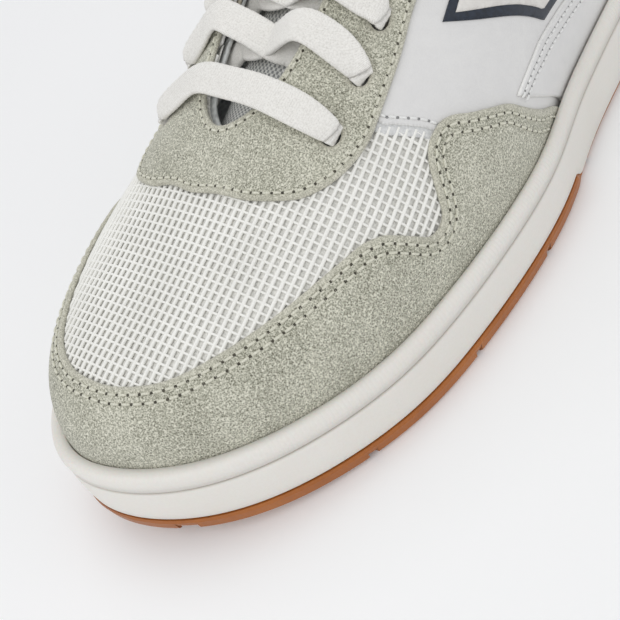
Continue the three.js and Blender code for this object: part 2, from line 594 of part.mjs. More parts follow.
// ---------------------------------------------------------------- tongue
// Centre line of its outer side (y, z) and half width, from the vamp to the free top.
const TONGUE = [[-73, 57.8, 12], [-61, 63, 15], [-46, 68.3, 20], [-26, 78.3, 24], [0, 89.5, 26], [16, 95.3, 25],
  [27, 101, 21], [35, 110, 23], [40, 119, 27], [43, 128, 25]];
const TONGUE_ROUNDING = 25;
const TONGUE_CENTRE = -1;
const tongueLine = new THREE.CatmullRomCurve3(TONGUE.map(([y, z, half]) =>
  new THREE.Vector3(half * grade.x, y * grade.y, gradeHeight(z))), false, "catmullrom", 0.5);
function tonguePoint(a, across, depth) {
  const at = tongueLine.getPoint(clamp(a));
  const slope = tongueLine.getTangent(clamp(a));
  slope.x = 0;
  slope.normalize();
  const inwards = new THREE.Vector3(0, slope.z, -slope.y);
  const x = across * at.x;
  const turn = x / TONGUE_ROUNDING;
  const radius = TONGUE_ROUNDING + depth;
  return new THREE.Vector3(TONGUE_CENTRE + radius * Math.sin(turn), at.y, at.z)
    .addScaledVector(inwards, TONGUE_ROUNDING - radius * Math.cos(turn));
}
const HINGE = 0.6;           // place of the hinge line along the tongue
const HINGE_CURVE = 0.16;    // how far the hinge line runs up at the tongue's sides
// A layer of the tongue between two lines across it, which are functions of the share of its width.
function tongueSheet(from, to, near, far, breadth = 1) {
  const rows = 7;
  const columns = 8;
  const pairs = [];
  for (let row = 0; row <= rows; row += 1) {
    pairs.push([]);
    for (let column = 0; column <= columns; column += 1) {
      const across = ((column / columns) * 2 - 1) * breadth;
      const start = from(across);
      const a = start + (to(across) - start) * row / rows;
      pairs[row].push([tonguePoint(a, across, near), tonguePoint(a, across, far)]);
    }
  }
  return sheet(pairs);
}
const hingeLine = (across) => HINGE + HINGE_CURVE * across ** 2;
const aboveHinge = (across) => hingeLine(across) + 1.6 * TONGUE_SPLIT / tongueLine.getLength();
const tongueLayers = [
  ["face", 0, -TONGUE_FACE, materials.mesh],
  ["foam", -TONGUE_FACE - GAP, -TONGUE_FACE - GAP - TONGUE_FOAM, materials.foam],
  ["lining", -TONGUE_FACE - 2 * GAP - TONGUE_FOAM, -TONGUE_FACE - 2 * GAP - TONGUE_FOAM - TONGUE_LINING,
    materials.textile],
];
const tongueTop = new THREE.Group();
shoe.add(tongueTop);
for (const [name, far, near, material] of tongueLayers) {
  addPiece(`tongue_${name}`, tongueSheet(() => 0, hingeLine, near, far), material);
  addPiece(`tongue_top_${name}`, tongueSheet(aboveHinge, () => 1, near, far), material, tongueTop);
}
// A plain patch on the free top.
const PATCH = { from: 0.8, to: 0.93, breadth: 0.62, thickness: 0.6 };
const patchEdge = (a) => (across) => a + 0.02 * across ** 2;
addPiece("tongue_patch", tongueSheet(patchEdge(PATCH.from), patchEdge(PATCH.to), GAP, GAP + PATCH.thickness,
  PATCH.breadth), materials.suede, tongueTop);

// ---------------------------------------------------------------- lace
// Every eyelet is entered from outside. The lowest bar runs straight across, and from there each
// end passes under the edge of the eyestay, over the tongue and into the next eyelet opposite.
const laceLift = GAP + LACE_THICKNESS / 2;
const overEyestay = GAP + OVERLAY + laceLift;
const underLining = -LINING_DEPTH - LINING - laceLift;
const NARROW = 0.42;         // share of the lace's width where it is drawn into an eyelet
const LEAN = 0.16;           // how far a strand leans towards the next eyelet at the throat's edge
const ARCH = LACE_WIDTH ** 2 / 72.2; // room that the flat lace needs over the curved eyestay
const CROSSING = 1.15;       // how far the upper strand passes above, and the lower one below
const eyelet = (side, k, depth) => surfacePoint(side(EYELETS[k][0]), EYELETS[k][1], depth);
const { lateral, medial } = sides;
const across = (from, to, share, rise) => {
  const point = from.clone().lerp(to, share);
  point.z += rise;
  return point;
};
// The stretch from inside one eyelet to the outside of the next one opposite.
function strand(from, to, k, over) {
  const under = surfacePoint(from(EYELETS[k][0] - LEAN), 1, underLining - 1.3);
  const above = surfacePoint(to(EYELETS[k + 1][0] + LEAN), 1, overEyestay + ARCH);
  const crossing = over ? CROSSING : -CROSSING;
  return [
    [eyelet(from, k, -LINING_DEPTH / 2), NARROW], [eyelet(from, k, underLining - 1.7), 0.45], [under, 0.75],
    [across(under, above, 0.28, 0.6 + crossing / 2), 1], [across(under, above, 0.52, 0.9 + crossing), 1],
    [across(under, above, 0.8, 1.3), 1], [above, 0.9],
    [surfacePoint(to(EYELETS[k + 1][0] + 0.02), 0.9, overEyestay + ARCH - 0.2), 0.8],
    [eyelet(to, k + 1, overEyestay + ARCH - 0.3), 0.5],
  ];
}
const LACE_TAIL = [[0.05, 0.76, underLining - 2.5], [0.1, 0.68, underLining - 3]];
function laceHalf(first, second) {
  const points = [];
  let [from, to] = [first, second];
  for (let k = 0; k < EYELETS.length - 1; k += 1) {
    points.push(...strand(from, to, k, from === lateral));
    [from, to] = [to, from];
  }
  const last = EYELETS.length - 1;
  points.push([eyelet(from, last, -LINING_DEPTH / 2), NARROW], [eyelet(from, last, underLining - 1.7), 0.45]);
  for (const [du, v, depth] of LACE_TAIL) {
    points.push([surfacePoint(from(EYELETS[last][0] + du), v, depth), 0.7]);
  }
  return points;
}
const BAR_LEAN = 0.6;        // the lowest bar runs straight across, so it leaves the throat's edge nearer the toe
const bar = [lateral, medial].map((side) => [
  [eyelet(side, 0, overEyestay + ARCH - 0.1), 0.5],
  [surfacePoint(side(EYELETS[0][0] + BAR_LEAN / 3), 0.9, overEyestay + ARCH), 0.75],
  [surfacePoint(side(EYELETS[0][0] + BAR_LEAN), 1, overEyestay + ARCH + 0.3), 1],
]);
const barMiddle = [across(bar[0][2][0], bar[1][2][0], 0.5, 0.5), 1];
// The lace's section turns with the way it lies: flat on the upper, and across its own course.
function makeLace(points) {
  const upright = new THREE.Vector3(0, -0.4, 1);
  let side = new THREE.Vector3(0, 1, 0);
  const loops = points.map(([place, width], k) => {
    const [before, after] = [points[Math.max(k - 1, 0)], points[Math.min(k + 1, points.length - 1)]];
    const course = after[0].clone().sub(before[0]).normalize();
    const guess = course.clone().cross(upright);
    if (guess.length() > 0.5) side = guess.dot(side) < 0 ? guess.negate() : guess;
    const flat = side.clone().addScaledVector(course, -side.dot(course)).normalize();
    const thin = course.clone().cross(flat).normalize();
    const half = LACE_WIDTH / 2 * width;
    const thick = LACE_THICKNESS / 2;
    return [[1, 0], [0.7, 1], [-0.7, 1], [-1, 0], [-0.7, -1], [0.7, -1]].map(([a, b]) =>
      place.clone().addScaledVector(flat, a * half).addScaledVector(thin, b * thick));
  });
  return loft(loops);
}
const lacePoints = [...laceHalf(lateral, medial).reverse(), ...bar[0], barMiddle, ...bar[1].reverse(),
  ...laceHalf(medial, lateral)];
addPiece("lace", makeLace(lacePoints), materials.lace);

// The sheathed tips of the lace, tucked in beside the tongue.
for (const [name, side] of Object.entries(sides)) {
  const [u] = EYELETS[EYELETS.length - 1];
  const [du, v, depth] = LACE_TAIL[LACE_TAIL.length - 1];
  const end = surfacePoint(side(u + du), v, depth);
  const course = surfacePoint(side(u + 0.15), v - 0.25, depth - 1).sub(end).normalize();
  const tip = new THREE.CylinderGeometry(AGLET_RADIUS, AGLET_RADIUS, AGLET_LENGTH, 8);
  tip.applyQuaternion(new THREE.Quaternion().setFromUnitVectors(new THREE.Vector3(0, 1, 0), course));
  tip.translate(...end.addScaledVector(course, AGLET_LENGTH / 2 + 2 * GAP).toArray());
  addPiece(`aglet_${name}`, tip, materials.aglet);
}

export default shoe;
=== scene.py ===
"""Low-cut court shoe for the left foot. Toe towards -Y, outer (lateral) side towards +X, ground at Z = 0.
Sizes of the shoe are written in millimetres and turned to metres where a mesh is made."""
import math
import bpy
import numpy as np
from mathutils import Matrix, Vector
from mathutils.bvhtree import BVHTree
from mathutils.geometry import delaunay_2d_cdt
from mathutils.kdtree import KDTree


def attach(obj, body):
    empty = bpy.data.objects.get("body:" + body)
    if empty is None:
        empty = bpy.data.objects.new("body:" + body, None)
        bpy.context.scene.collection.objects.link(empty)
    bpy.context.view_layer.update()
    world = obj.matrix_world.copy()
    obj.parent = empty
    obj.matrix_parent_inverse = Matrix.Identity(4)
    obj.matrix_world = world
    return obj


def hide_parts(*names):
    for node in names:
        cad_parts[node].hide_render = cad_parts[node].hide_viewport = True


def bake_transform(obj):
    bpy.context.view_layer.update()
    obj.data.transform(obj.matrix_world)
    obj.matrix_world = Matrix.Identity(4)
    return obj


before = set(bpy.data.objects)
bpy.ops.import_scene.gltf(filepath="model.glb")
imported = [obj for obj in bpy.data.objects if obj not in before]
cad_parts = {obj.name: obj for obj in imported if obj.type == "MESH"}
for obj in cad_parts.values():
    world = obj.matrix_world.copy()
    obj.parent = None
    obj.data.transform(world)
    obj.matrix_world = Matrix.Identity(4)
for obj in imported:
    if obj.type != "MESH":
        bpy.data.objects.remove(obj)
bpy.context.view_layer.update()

MM = 0.001

# ------------------------------------------------------------------------------------------------
# Camera, floor and light: a close view over the toe from the outer side with the camera rolled,
# in front of a pale floor, under large soft lamps.
FOCUS = Vector((0.020, -0.090, 0.030))
AZIMUTH, ELEVATION, ROLL = (math.radians(angle) for angle in (61.0644, 43.7408, -32.0864))
DISTANCE = 0.2513
camera = bpy.data.objects.new("camera", bpy.data.cameras.new("camera"))
camera.data.lens = 58.06
camera.data.sensor_width = 36.0
camera.data.shift_x, camera.data.shift_y = 0.0375, 0.0209
camera.data.clip_start = 0.01
back = Vector((math.sin(AZIMUTH) * math.cos(ELEVATION), -math.cos(AZIMUTH) * math.cos(ELEVATION),
               math.sin(ELEVATION)))
right = Vector((math.cos(AZIMUTH), math.sin(AZIMUTH), 0))
above = back.cross(right)
turned_right = right * math.cos(ROLL) + above * math.sin(ROLL)
turned_above = above * math.cos(ROLL) - right * math.sin(ROLL)
turn = Matrix((turned_right, turned_above, back)).transposed().to_4x4()
camera.matrix_world = Matrix.Translation(FOCUS + back * DISTANCE) @ turn
bpy.context.scene.collection.objects.link(camera)
bpy.context.scene.camera = camera
bpy.context.scene.view_settings.view_transform = "Standard"


class Wire:
    """A shader socket. Numbers and wires add, subtract and multiply into Math nodes."""

    def __init__(self, tree, socket=None):
        self.tree, self.socket = tree, socket

    def node(self, kind, settings=(), output=0, **values):
        """Adds any node: its settings first, then its sockets, named with _ for a space."""
        made = self.tree.nodes.new(kind)
        for name, value in dict(settings).items():
            if name == "stops":
                for stop, (place, colour) in enumerate(value):
                    if stop > 1:
                        made.color_ramp.elements.new(place)
                    made.color_ramp.elements[stop].position = place
                    made.color_ramp.elements[stop].color = (*colour, 1)
            else:
                setattr(made, name, value)
        for name, value in values.items():
            socket = made.inputs[int(name[1:])] if name[0] == "_" else made.inputs[name.replace("_", " ")]
            if isinstance(value, Wire):
                self.tree.links.new(value.socket, socket)
            else:
                socket.default_value = value
        return Wire(self.tree, made.outputs[output] if made.outputs else None)

    def maths(self, operation, first, second=0.0):
        return self.node("ShaderNodeMath", {"operation": operation}, _0=first, _1=second)

    def __add__(self, other):
        return self.maths("ADD", self, other)

    def __sub__(self, other):
        return self.maths("SUBTRACT", self, other)

    def __rsub__(self, other):
        return self.maths("SUBTRACT", other, self)

    def __mul__(self, other):
        return self.maths("MULTIPLY", self, other)

    __radd__, __rmul__ = __add__, __mul__

    def steps(self, low, high):
        """Runs smoothly from 0 at low to 1 at high."""
        return self.node("ShaderNodeMapRange", {"interpolation_type": "SMOOTHSTEP"},
                         Value=self, From_Min=low, From_Max=high)

    def noise(self, place, scale, **more):
        return self.node("ShaderNodeTexNoise", Vector=place, Scale=scale, **more)

    def cells(self, place, scale, settings=(), **more):
        return self.node("ShaderNodeTexVoronoi", settings, Vector=place, Scale=scale, **more)

    def stored(self, name):
        """The value that the mesh stores for each point."""
        return self.node("ShaderNodeAttribute", {"attribute_name": name}, 2)

    def wave(self, kind="SINE"):
        return self.maths(kind, self)

    def ramp(self, *stops):
        return self.node("ShaderNodeValToRGB", {"stops": stops}, Fac=self)

    def blend(self, one, other):
        """The colour one where this is 0, and other where it is 1."""
        return self.node("ShaderNodeMix", {"data_type": "RGBA"}, 2, _0=self, _6=one, _7=other)


def tone(red, green, blue):
    """A display colour of 0 to 255 as the linear value that a shader takes."""
    return tuple(((c / 255 + 0.055) / 1.055) ** 2.4 if c > 10 else c / 3295 for c in (red, green, blue))


def new_finish(name, **constants):
    """A material with its Principled shader, whose even values are set on its own sockets."""
    material = bpy.data.materials.new(name)
    material.use_nodes = True
    shader = material.node_tree.nodes["Principled BSDF"]
    for socket, value in constants.items():
        shader.inputs[socket.replace("_", " ")].default_value = value
    wire = Wire(material.node_tree)

    def feed(**links):
        for socket, value in links.items():
            material.node_tree.links.new(value.socket, shader.inputs[socket.replace("_", " ")])

    place = wire.node("ShaderNodeTexCoord", output=3)
    return material, wire, place, feed


def relief(wire, height, depth, strength=1.0):
    return wire.node("ShaderNodeBump", Height=height, Distance=depth, Strength=strength)


def speckled(name, scale, dark, light, bump=(), detail=2.0, distortion=0.0, **constants):
    """A material of one noise between two tones, with its relief as depth and strength if it has any."""
    material, wire, place, feed = new_finish(name, **constants)
    cloud = wire.noise(place, scale, Detail=detail, Distortion=distortion)
    feed(Base_Color=cloud.ramp((0.3, tone(*dark)), (0.7, tone(*light))))
    if bump:
        feed(Normal=relief(wire, cloud, *bump))
    return material


FLOOR_SIZE = 6.0
floor = bpy.data.objects.new("floor", bpy.data.meshes.new("floor"))
corners = [(x * FLOOR_SIZE / 2, y * FLOOR_SIZE / 2, 0) for x, y in ((-1, -1), (1, -1), (1, 1), (-1, 1))]
floor.data.from_pydata(corners, [], [(0, 1, 2, 3)])
bpy.context.scene.collection.objects.link(floor)
paper, wire, place, feed = new_finish("paper_floor", Roughness=0.9, Emission_Color=(1, 1, 1, 1),
                                      Emission_Strength=0.07)
cloud = wire.noise(place, 3.0, Detail=2.0)
feed(Base_Color=cloud.ramp((0.3, (0.86, 0.86, 0.86)), (0.7, (0.88, 0.88, 0.88))))
floor.data.materials.append(paper)

sky = bpy.data.worlds.new("studio")
sky.use_nodes = True
sky.node_tree.nodes["Background"].inputs["Color"].default_value = (0.97, 0.98, 1.0, 1)
sky.node_tree.nodes["Background"].inputs["Strength"].default_value = 0.62
bpy.context.scene.world = sky
SUBJECT = Vector((0, -0.05, 0.03))
for name, spot, size, power in (
        ("key_lamp", (0.25, -0.75, 0.95), 0.9, 4.0),
        ("fill_lamp", (0.9, 0.35, 0.6), 0.8, 1.0),
        ("top_lamp", (-0.45, 0.2, 1.1), 0.8, 2.0)):
    lamp = bpy.data.objects.new(name, bpy.data.lights.new(name, "AREA"))
    lamp.data.size, lamp.data.energy = size, power
    lamp.location = spot
    lamp.rotation_mode = "QUATERNION"
    lamp.rotation_quaternion = (SUBJECT - lamp.location).to_track_quat("-Z", "Y")
    bpy.context.scene.collection.objects.link(lamp)

# ------------------------------------------------------------------------------------------------
# Outsole: a flat gum rubber tread pressed in a mould, cemented under the cupsole. Its edge shows all
# round, and in the arch the cupsole's skirt comes down over it. The tread is cut by chevron grooves
# with a zigzag sipe between each two; every third groove runs out through the rim.
LENGTH, WIDTH, COLLAR_HEIGHT = 300.0, 111.0, 93.0
GAP = 0.3
PATTERN_LENGTH, PATTERN_WIDTH, PATTERN_COLLAR = 300.0, 111.0, 93.0
OUTSOLE_HEIGHT, WALL_HEIGHT, HEEL_RISE, SEAT = 4.8, 23.0, 6.0, 12.0
TOE_SPRING, SPRING_START = 8.5, 85.0
HEEL_RISE_START, HEEL_RISE_RUN = 20.0, 100.0
# Control points of a closed cubic B-spline, heel centre first, then lateral side, toe and medial
# side: sole outline x, y | topline x, y, z | lean of the topline in degrees | handle at the base |
# handle at the topline | bulge over the base.
STATIONS = np.array([
    [1.5, 151, 1, 136, 94, 100, 0.42, 0.40, 6.0],
    [23, 146, 18, 130, 91, 97, 0.42, 0.38, 6.0],
    [38, 122.5, 28, 112, 84, 95, 0.42, 0.36, 6.0],
    [41.5, 95.5, 31, 90, 76, 92, 0.42, 0.35, 5.5],
    [41.5, 65, 32, 68, 74, 88, 0.42, 0.35, 5.0],
    [43.5, 41, 29, 46, 84, 76, 0.42, 0.35, 4.5],
    [47.5, 11, 20, 26, 104, 55, 0.42, 0.36, 5.0],
    [54.5, -12, 16, 0, 96, 48, 0.42, 0.38, 5.0],
    [56, -40, 14, -26, 84, 38, 0.45, 0.42, 4.5],
    [54.5, -68, 11, -46, 74, 26, 0.52, 0.48, 4.0],
    [51, -90, 5, -58, 69.3, 12, 0.60, 0.54, 3.5],
    [36.5, -123, 0, -61.5, 68, 9, 0.70, 0.61, 2.5],
    [18, -143.5, -2, -62.5, 67.6, 8, 0.78, 0.67, 2.0],
    [-7, -152.5, -4, -62.8, 67.5, 8, 0.80, 0.69, 2.0],
    [-27, -144, -6, -62.5, 67.6, 8, 0.80, 0.67, 2.5],
    [-42, -129, -8, -61.5, 68, 9, 0.76, 0.63, 3.5],
    [-52, -102, -13, -57, 69.8, 12, 0.68, 0.57, 4.0],
    [-56.5, -75.5, -16, -45, 74.5, 24, 0.56, 0.50, 4.0],
    [-51.5, -45.5, -17, -26, 84, 36, 0.48, 0.45, 4.5],
    [-43.5, -11.5, -18, 0, 96, 44, 0.42, 0.42, 5.0],
    [-38, 20.5, -21, 26, 104, 55, 0.42, 0.38, 4.5],
    [-38.5, 50, -28, 46, 84, 76, 0.42, 0.35, 4.5],
    [-39.5, 80.5, -29, 70, 76, 88, 0.42, 0.35, 5.0],
    [-40, 108.5, -28, 96, 77, 92, 0.42, 0.35, 5.5],
    [-33.5, 132.5, -22, 118, 86, 95, 0.42, 0.38, 6.0],
    [-17.5, 146.5, -11, 133, 92, 98, 0.42, 0.40, 6.0],
], float)
AROUND = len(STATIONS)
STATIONS[:, [0, 2]] *= WIDTH / PATTERN_WIDTH
STATIONS[:, [1, 3]] *= LENGTH / PATTERN_LENGTH
STATIONS[:, 4] = SEAT + (STATIONS[:, 4] - SEAT) * (COLLAR_HEIGHT - SEAT) / (PATTERN_COLLAR - SEAT)


def spline_weights(t):
    return np.stack([(1 - t) ** 3, 3 * t ** 3 - 6 * t ** 2 + 4,
                     -3 * t ** 3 + 3 * t ** 2 + 3 * t + 1, t ** 3], -1) / 6


def slope_weights(t):
    return np.stack([-(1 - t) ** 2, 3 * t ** 2 - 4 * t, -3 * t ** 2 + 2 * t + 1, t ** 2], -1) / 2


def station(u, weights=spline_weights):
    """The station values at u, which runs 0 to 26 round the shoe from the heel by the lateral side."""
    first = np.floor(u).astype(int)
    rows = STATIONS[(first[..., None] + np.arange(-1, 3)) % AROUND]
    return np.einsum("...k,...kc->...c", weights(u - first), rows)


def outline(u, outwards):
    """A point of the sole's outline, moved outwards."""
    place = station(u)[..., :2]
    slope = station(u, slope_weights)[..., :2]
    side = np.stack([-slope[..., 1], slope[..., 0]], -1)
    return place + unit(side) * np.asarray(outwards)[..., None]


def unit(directions):
    return directions / np.linalg.norm(directions, axis=-1, keepdims=True)


def full_turn(count):
    """Angles evenly round a circle."""
    return np.linspace(0, 2 * np.pi, count, endpoint=False)


def squared(values, power):
    """Sines or cosines bulged towards a square wave."""
    return np.sign(values) * np.abs(values) ** power


def closed_line(line):
    """A line with its first point again at its end."""
    return np.concatenate([line, line[:1]])


def walked_along(line):
    """How far each point lies along a line."""
    return np.concatenate([[0], np.cumsum(np.linalg.norm(np.diff(line, axis=0), axis=1))])


def tree_of(points):
    """A search tree of points of a plan."""
    tree = KDTree(len(points))
    for k, place in enumerate(points):
        tree.insert((*place, 0), k)
    tree.balance()
    return tree


def hermite(p, t):
    """A point at t between the middle two of four points, on the smooth curve through them."""
    m, n = (p[2] - p[0]) / 2, (p[3] - p[1]) / 2
    return ((2 * t ** 3 - 3 * t ** 2 + 1) * p[1] + (t ** 3 - 2 * t ** 2 + t) * m
            + (3 * t ** 2 - 2 * t ** 3) * p[2] + (t ** 3 - t ** 2) * n)


def smooth(share):
    share = np.clip(share, 0, 1)
    return share * share * (3 - 2 * share)


def spring(y):
    """How far the toe turns up."""
    return TOE_SPRING * np.maximum(0, (-y - SPRING_START) / (LENGTH / 2 - SPRING_START)) ** 2


def heel_share(y):
    return smooth((y * PATTERN_LENGTH / LENGTH - HEEL_RISE_START) / HEEL_RISE_RUN)


def seat(y):
    """Height at which the lasted upper stands."""
    return SEAT + spring(y) + HEEL_RISE * heel_share(y)


def mesh_piece(name, points, faces, finishes, body="shoe", even=True):
    """A mesh in metres from points in millimetres, in smooth shading, riding on a body."""
    mesh = bpy.data.meshes.new(name)
    mesh.from_pydata((np.asarray(points, float) * MM).tolist(), [], [list(map(int, f)) for f in faces])
    mesh.validate()
    for polygon in mesh.polygons:
        polygon.use_smooth = even
    piece = bpy.data.objects.new(name, mesh)
    for finish in finishes:
        mesh.materials.append(finish)
    bpy.context.scene.collection.objects.link(piece)
    if body:
        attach(piece, body)
    return piece


def point_value(piece, name, values, kind="FLOAT"):
    """Stores a value for each point, for the material or for a node tree."""
    store = piece.data.attributes.new(name, kind, "POINT")
    store.data.foreach_set("value" if kind == "FLOAT" else "vector", np.asarray(values, np.float32).ravel())


gum, wire, place, feed = new_finish("gum_rubber", Roughness=0.42, IOR=1.5, Coat_Weight=0.08)
cloud = wire.noise(place, 38.0, Detail=4.0)
dust = wire.noise(place, 900.0, Detail=3.0)
feed(Base_Color=(cloud * 0.75 + dust * 0.25).ramp((0.3, tone(148, 82, 24)), (0.52, tone(166, 96, 34)),
                                                  (0.75, tone(180, 110, 46))),
     Roughness=dust * 0.25 + 0.36,
     Normal=relief(wire, dust, 0.00006, 0.5))

TREAD_INSET = -1.4
TREAD_POINTS = 360
GROOVE_DEPTH, GROOVE_WIDTH, GROOVE_PITCH, CHEVRON_RISE = 2.0, 2.4, 12.0, 7.0
SIPE_DEPTH, SIPE_WIDTH, SIPE_WAVE, SIPE_SWING = 1.0, 1.1, 9.0, 2.2
RIM, TREAD_END = 5.0, 14.0
OPEN_EVERY = 3
# The gum's top edge drops where the skirt of the cupsole covers it in the arch, on each side.
ARCH_STATIONS, ARCH_RUN = ((3.6, 6.65), (19.85, 22.4)), 0.2


def arch_share(u):
    """1 where the cupsole's skirt covers the gum, 0 elsewhere."""
    u = np.asarray(u, float) % AROUND
    return sum(smooth((u - start) / ARCH_RUN) * smooth((end - u) / ARCH_RUN) for start, end in ARCH_STATIONS)


def chevron(x):
    return -CHEVRON_RISE * (1 - np.abs(x) / (WIDTH / 2 + 5))


def zigzag(x):
    return SIPE_SWING * (np.abs((x / SIPE_WAVE) % 2 - 1) - 0.5) * 2


def cut_plan():
    """Plan of the tread: points, triangles and the depth of each triangle's cut."""
    around = np.linspace(0, AROUND, TREAD_POINTS, endpoint=False)
    edge = outline(around, TREAD_INSET)
    rim = outline(around, TREAD_INSET - RIM)
    points, links = [*edge, *rim], []
    for start in (0, len(edge)):
        links += [(start + k, start + (k + 1) % len(edge)) for k in range(len(edge))]
    reach = WIDTH / 2
    last = LENGTH / 2 - TREAD_END
    grooves = np.arange(-last, last + 1, GROOVE_PITCH)
    for kind, centres, half in (("groove", grooves, GROOVE_WIDTH / 2),
                                ("sipe", grooves[:-1] + GROOVE_PITCH / 2, SIPE_WIDTH / 2)):
        across = np.array([-reach, 0, reach]) if kind == "groove" else np.arange(-6, 7) * SIPE_WAVE
        for centre in centres:
            for side in (-half, half):
                line = centre + side + chevron(across) + (zigzag(across) if kind == "sipe" else 0)
                first = len(points)
                points += [*np.stack([across, line], -1)]
                links += [(first + k, first + k + 1) for k in range(len(across) - 1)]
    flat_points, _, triangles, *_ = delaunay_2d_cdt([Vector(p) for p in points], links, [], 0, 1e-5)
    flat_points = np.array([tuple(p) for p in flat_points])
    triangles = np.array(triangles)
    middle = flat_points[triangles].mean(1)
    in_edge = inside(middle, edge)
    in_rim = inside(middle, rim)
    along = middle[:, 1] - chevron(middle[:, 0]) + last
    groove = np.round(along / GROOVE_PITCH)
    in_groove = np.abs(along - groove * GROOVE_PITCH) < GROOVE_WIDTH / 2
    in_groove &= (in_rim | (groove % OPEN_EVERY == 0)) & (groove >= 0) & (groove < len(grooves))
    beside = along - GROOVE_PITCH / 2 - zigzag(middle[:, 0])
    sipe = np.round(beside / GROOVE_PITCH)
    in_sipe = (np.abs(beside - sipe * GROOVE_PITCH) < SIPE_WIDTH / 2) & in_rim & (sipe >= 0)
    in_sipe &= sipe < len(grooves) - 1
    depth = np.where(in_groove, GROOVE_DEPTH, np.where(in_sipe, SIPE_DEPTH, 0.0))
    return flat_points, triangles[in_edge], depth[in_edge]


def inside(points, polygon):
    """Whether each point lies in a polygon, by crossings."""
    after = np.roll(polygon, -1, 0)
    found = np.zeros(len(points), bool)
    for start in range(0, len(points), 2000):
        x, y = points[start:start + 2000, 0, None], points[start:start + 2000, 1, None]
        spans = (polygon[:, 1] > y) != (after[:, 1] > y)
        rise = after[:, 1] - polygon[:, 1]
        rise = np.where(rise == 0, 1e-12, rise)
        meets = x < (after[:, 0] - polygon[:, 0]) * (y - polygon[:, 1]) / rise + polygon[:, 0]
        found[start:start + 2000] = (spans & meets).sum(1) % 2 == 1
    return found


def make_outsole():
    plan, triangles, depths = cut_plan()
    dense = np.linspace(0, AROUND, 3000, endpoint=False)
    edge = outline(dense, TREAD_INSET)
    outwards = unit(outline(dense, 0.0) - edge)
    finder = tree_of(edge)
    points, index, faces = [], {}, []

    def corner(k, ring, cut):
        key = (k, ring, cut if ring in ("tread", "low") else 0)
        if key not in index:
            x, y = plan[k]
            if ring == "tread":
                spot = (x, y, cut + spring(y))
            elif ring == "top" and k not in border:
                spot = (x, y, OUTSOLE_HEIGHT + spring(y))
            else:
                near = finder.find((x, y, 0))[1]
                arch = arch_share(dense[near])
                moved, z = {"low": (0.9 - 0.5 * arch, max(0.9, cut + 0.2)),
                            "side": (1.3 - 1.1 * arch, 3.8 - 2.2 * arch),
                            "top": (1.0 - 2.8 * arch, OUTSOLE_HEIGHT)}[ring]
                x, y = plan[k] + outwards[near] * moved
                spot = (x, y, z + spring(y))
            index[key] = len(points)
            points.append(spot)
        return index[key]

    sides = {}
    for triangle, depth in zip(triangles, depths):
        for a, b in zip(triangle, np.roll(triangle, -1)):
            sides[(a, b)] = depth
    border = {a for a, b in sides if (b, a) not in sides} | {b for a, b in sides if (b, a) not in sides}
    for triangle, depth in zip(triangles, depths):
        a, b, c = triangle
        faces.append([corner(k, "tread", depth) for k in (a, c, b)])
        faces.append([corner(k, "top", 0) for k in (a, b, c)])
    ends = {}
    for (a, b), depth in sides.items():
        if (b, a) not in sides:
            ends.setdefault(a, [None, None])[1] = depth
            ends.setdefault(b, [None, None])[0] = depth
            for low, high in (("tread", "low"), ("low", "side"), ("side", "top")):
                faces.append([corner(a, low, depth), corner(b, low, depth),
                              corner(b, high, depth), corner(a, high, depth)])
        elif sides[(b, a)] > depth:
            other = sides[(b, a)]
            faces.append([corner(a, "tread", depth), corner(b, "tread", depth),
                          corner(b, "tread", other), corner(a, "tread", other)])
    for k, (before, after) in ends.items():
        if before != after and None not in (before, after):
            faces.append([corner(k, "tread", before), corner(k, "low", before),
                          corner(k, "low", after), corner(k, "tread", after)])
    return np.array(points), faces


outsole = mesh_piece("outsole_tread", *make_outsole(), [gum], even=False)
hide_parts("outsole")

# ------------------------------------------------------------------------------------------------
# Cupsole: one moulding of warm white rubber with a floor and a wall that rises round the upper. The
# wall has a thin groove under a rounded foxing bead, whose lip closes on the upper. It is cemented,
# and in the arch its skirt comes down over the edge of the gum.
UPPER_INSET, RIDGE_SLOPE = 6.5, 0.33
WALL_TOP, WALL_BULGE = 15.9, 0.18
BEAD_INSET, BEAD_HEIGHT, BEAD_WIDE, BEAD_TALL = 3.1, 20.45, 2.15, 2.75
OVERLAY = 1.0
rubber, wire, place, feed = new_finish("cupsole_rubber", Roughness=0.5, IOR=1.48, Specular_IOR_Level=0.42,
                                       Subsurface_Weight=0.06, Subsurface_Scale=0.002)
cloud = wire.noise(place, 22.0, Detail=3.0)
dust = wire.noise(place, 1500.0, Detail=2.0)
along = wire.stored("along")
bead = wire.stored("bead")
fine_ribs = (along * 5.2).wave()
# The stored values read here are painted shade: they darken the rubber in the groove under the bead, where
# the lip closes on the upper and at the foot of the skirt.
shade_mask = wire.stored("crease")
base = (cloud * 0.7 + dust * 0.3).ramp((0.3, tone(226, 222, 214)), (0.7, tone(234, 231, 225)))
feed(Base_Color=shade_mask.blend(base, (*tone(168, 160, 148), 1)),
     Roughness=dust * 0.2 + 0.42 - bead * 0.04,
     Normal=relief(wire, dust * 0.5 + fine_ribs * bead * 0.5, 0.00009, 0.55))


def profile(u):
    """The four Bezier points of the upper's profile at u, from the seat to the topline."""
    row = station(u)
    foot = outline(u, np.full(np.shape(u), -UPPER_INSET))
    base = np.concatenate([foot, seat(foot[..., 1:])], -1)
    top = row[..., 2:5]
    out = (base - top) * (1, 1, 0)
    spread = np.linalg.norm(out, axis=-1)
    out /= spread[..., None]
    rise = top[..., 2] - base[..., 2]
    reach = np.hypot(spread, rise) * row[..., 7]
    lean = np.radians(row[..., 5])
    low = base + out * row[..., 8:]
    low[..., 2] += row[..., 6] * rise
    high = top + out * (reach * np.cos(lean))[..., None]
    high[..., 2] += reach * (RIDGE_SLOPE * out[..., 1] * np.maximum(np.cos(lean), 0) - np.sin(lean))
    return base, low, high, top, out


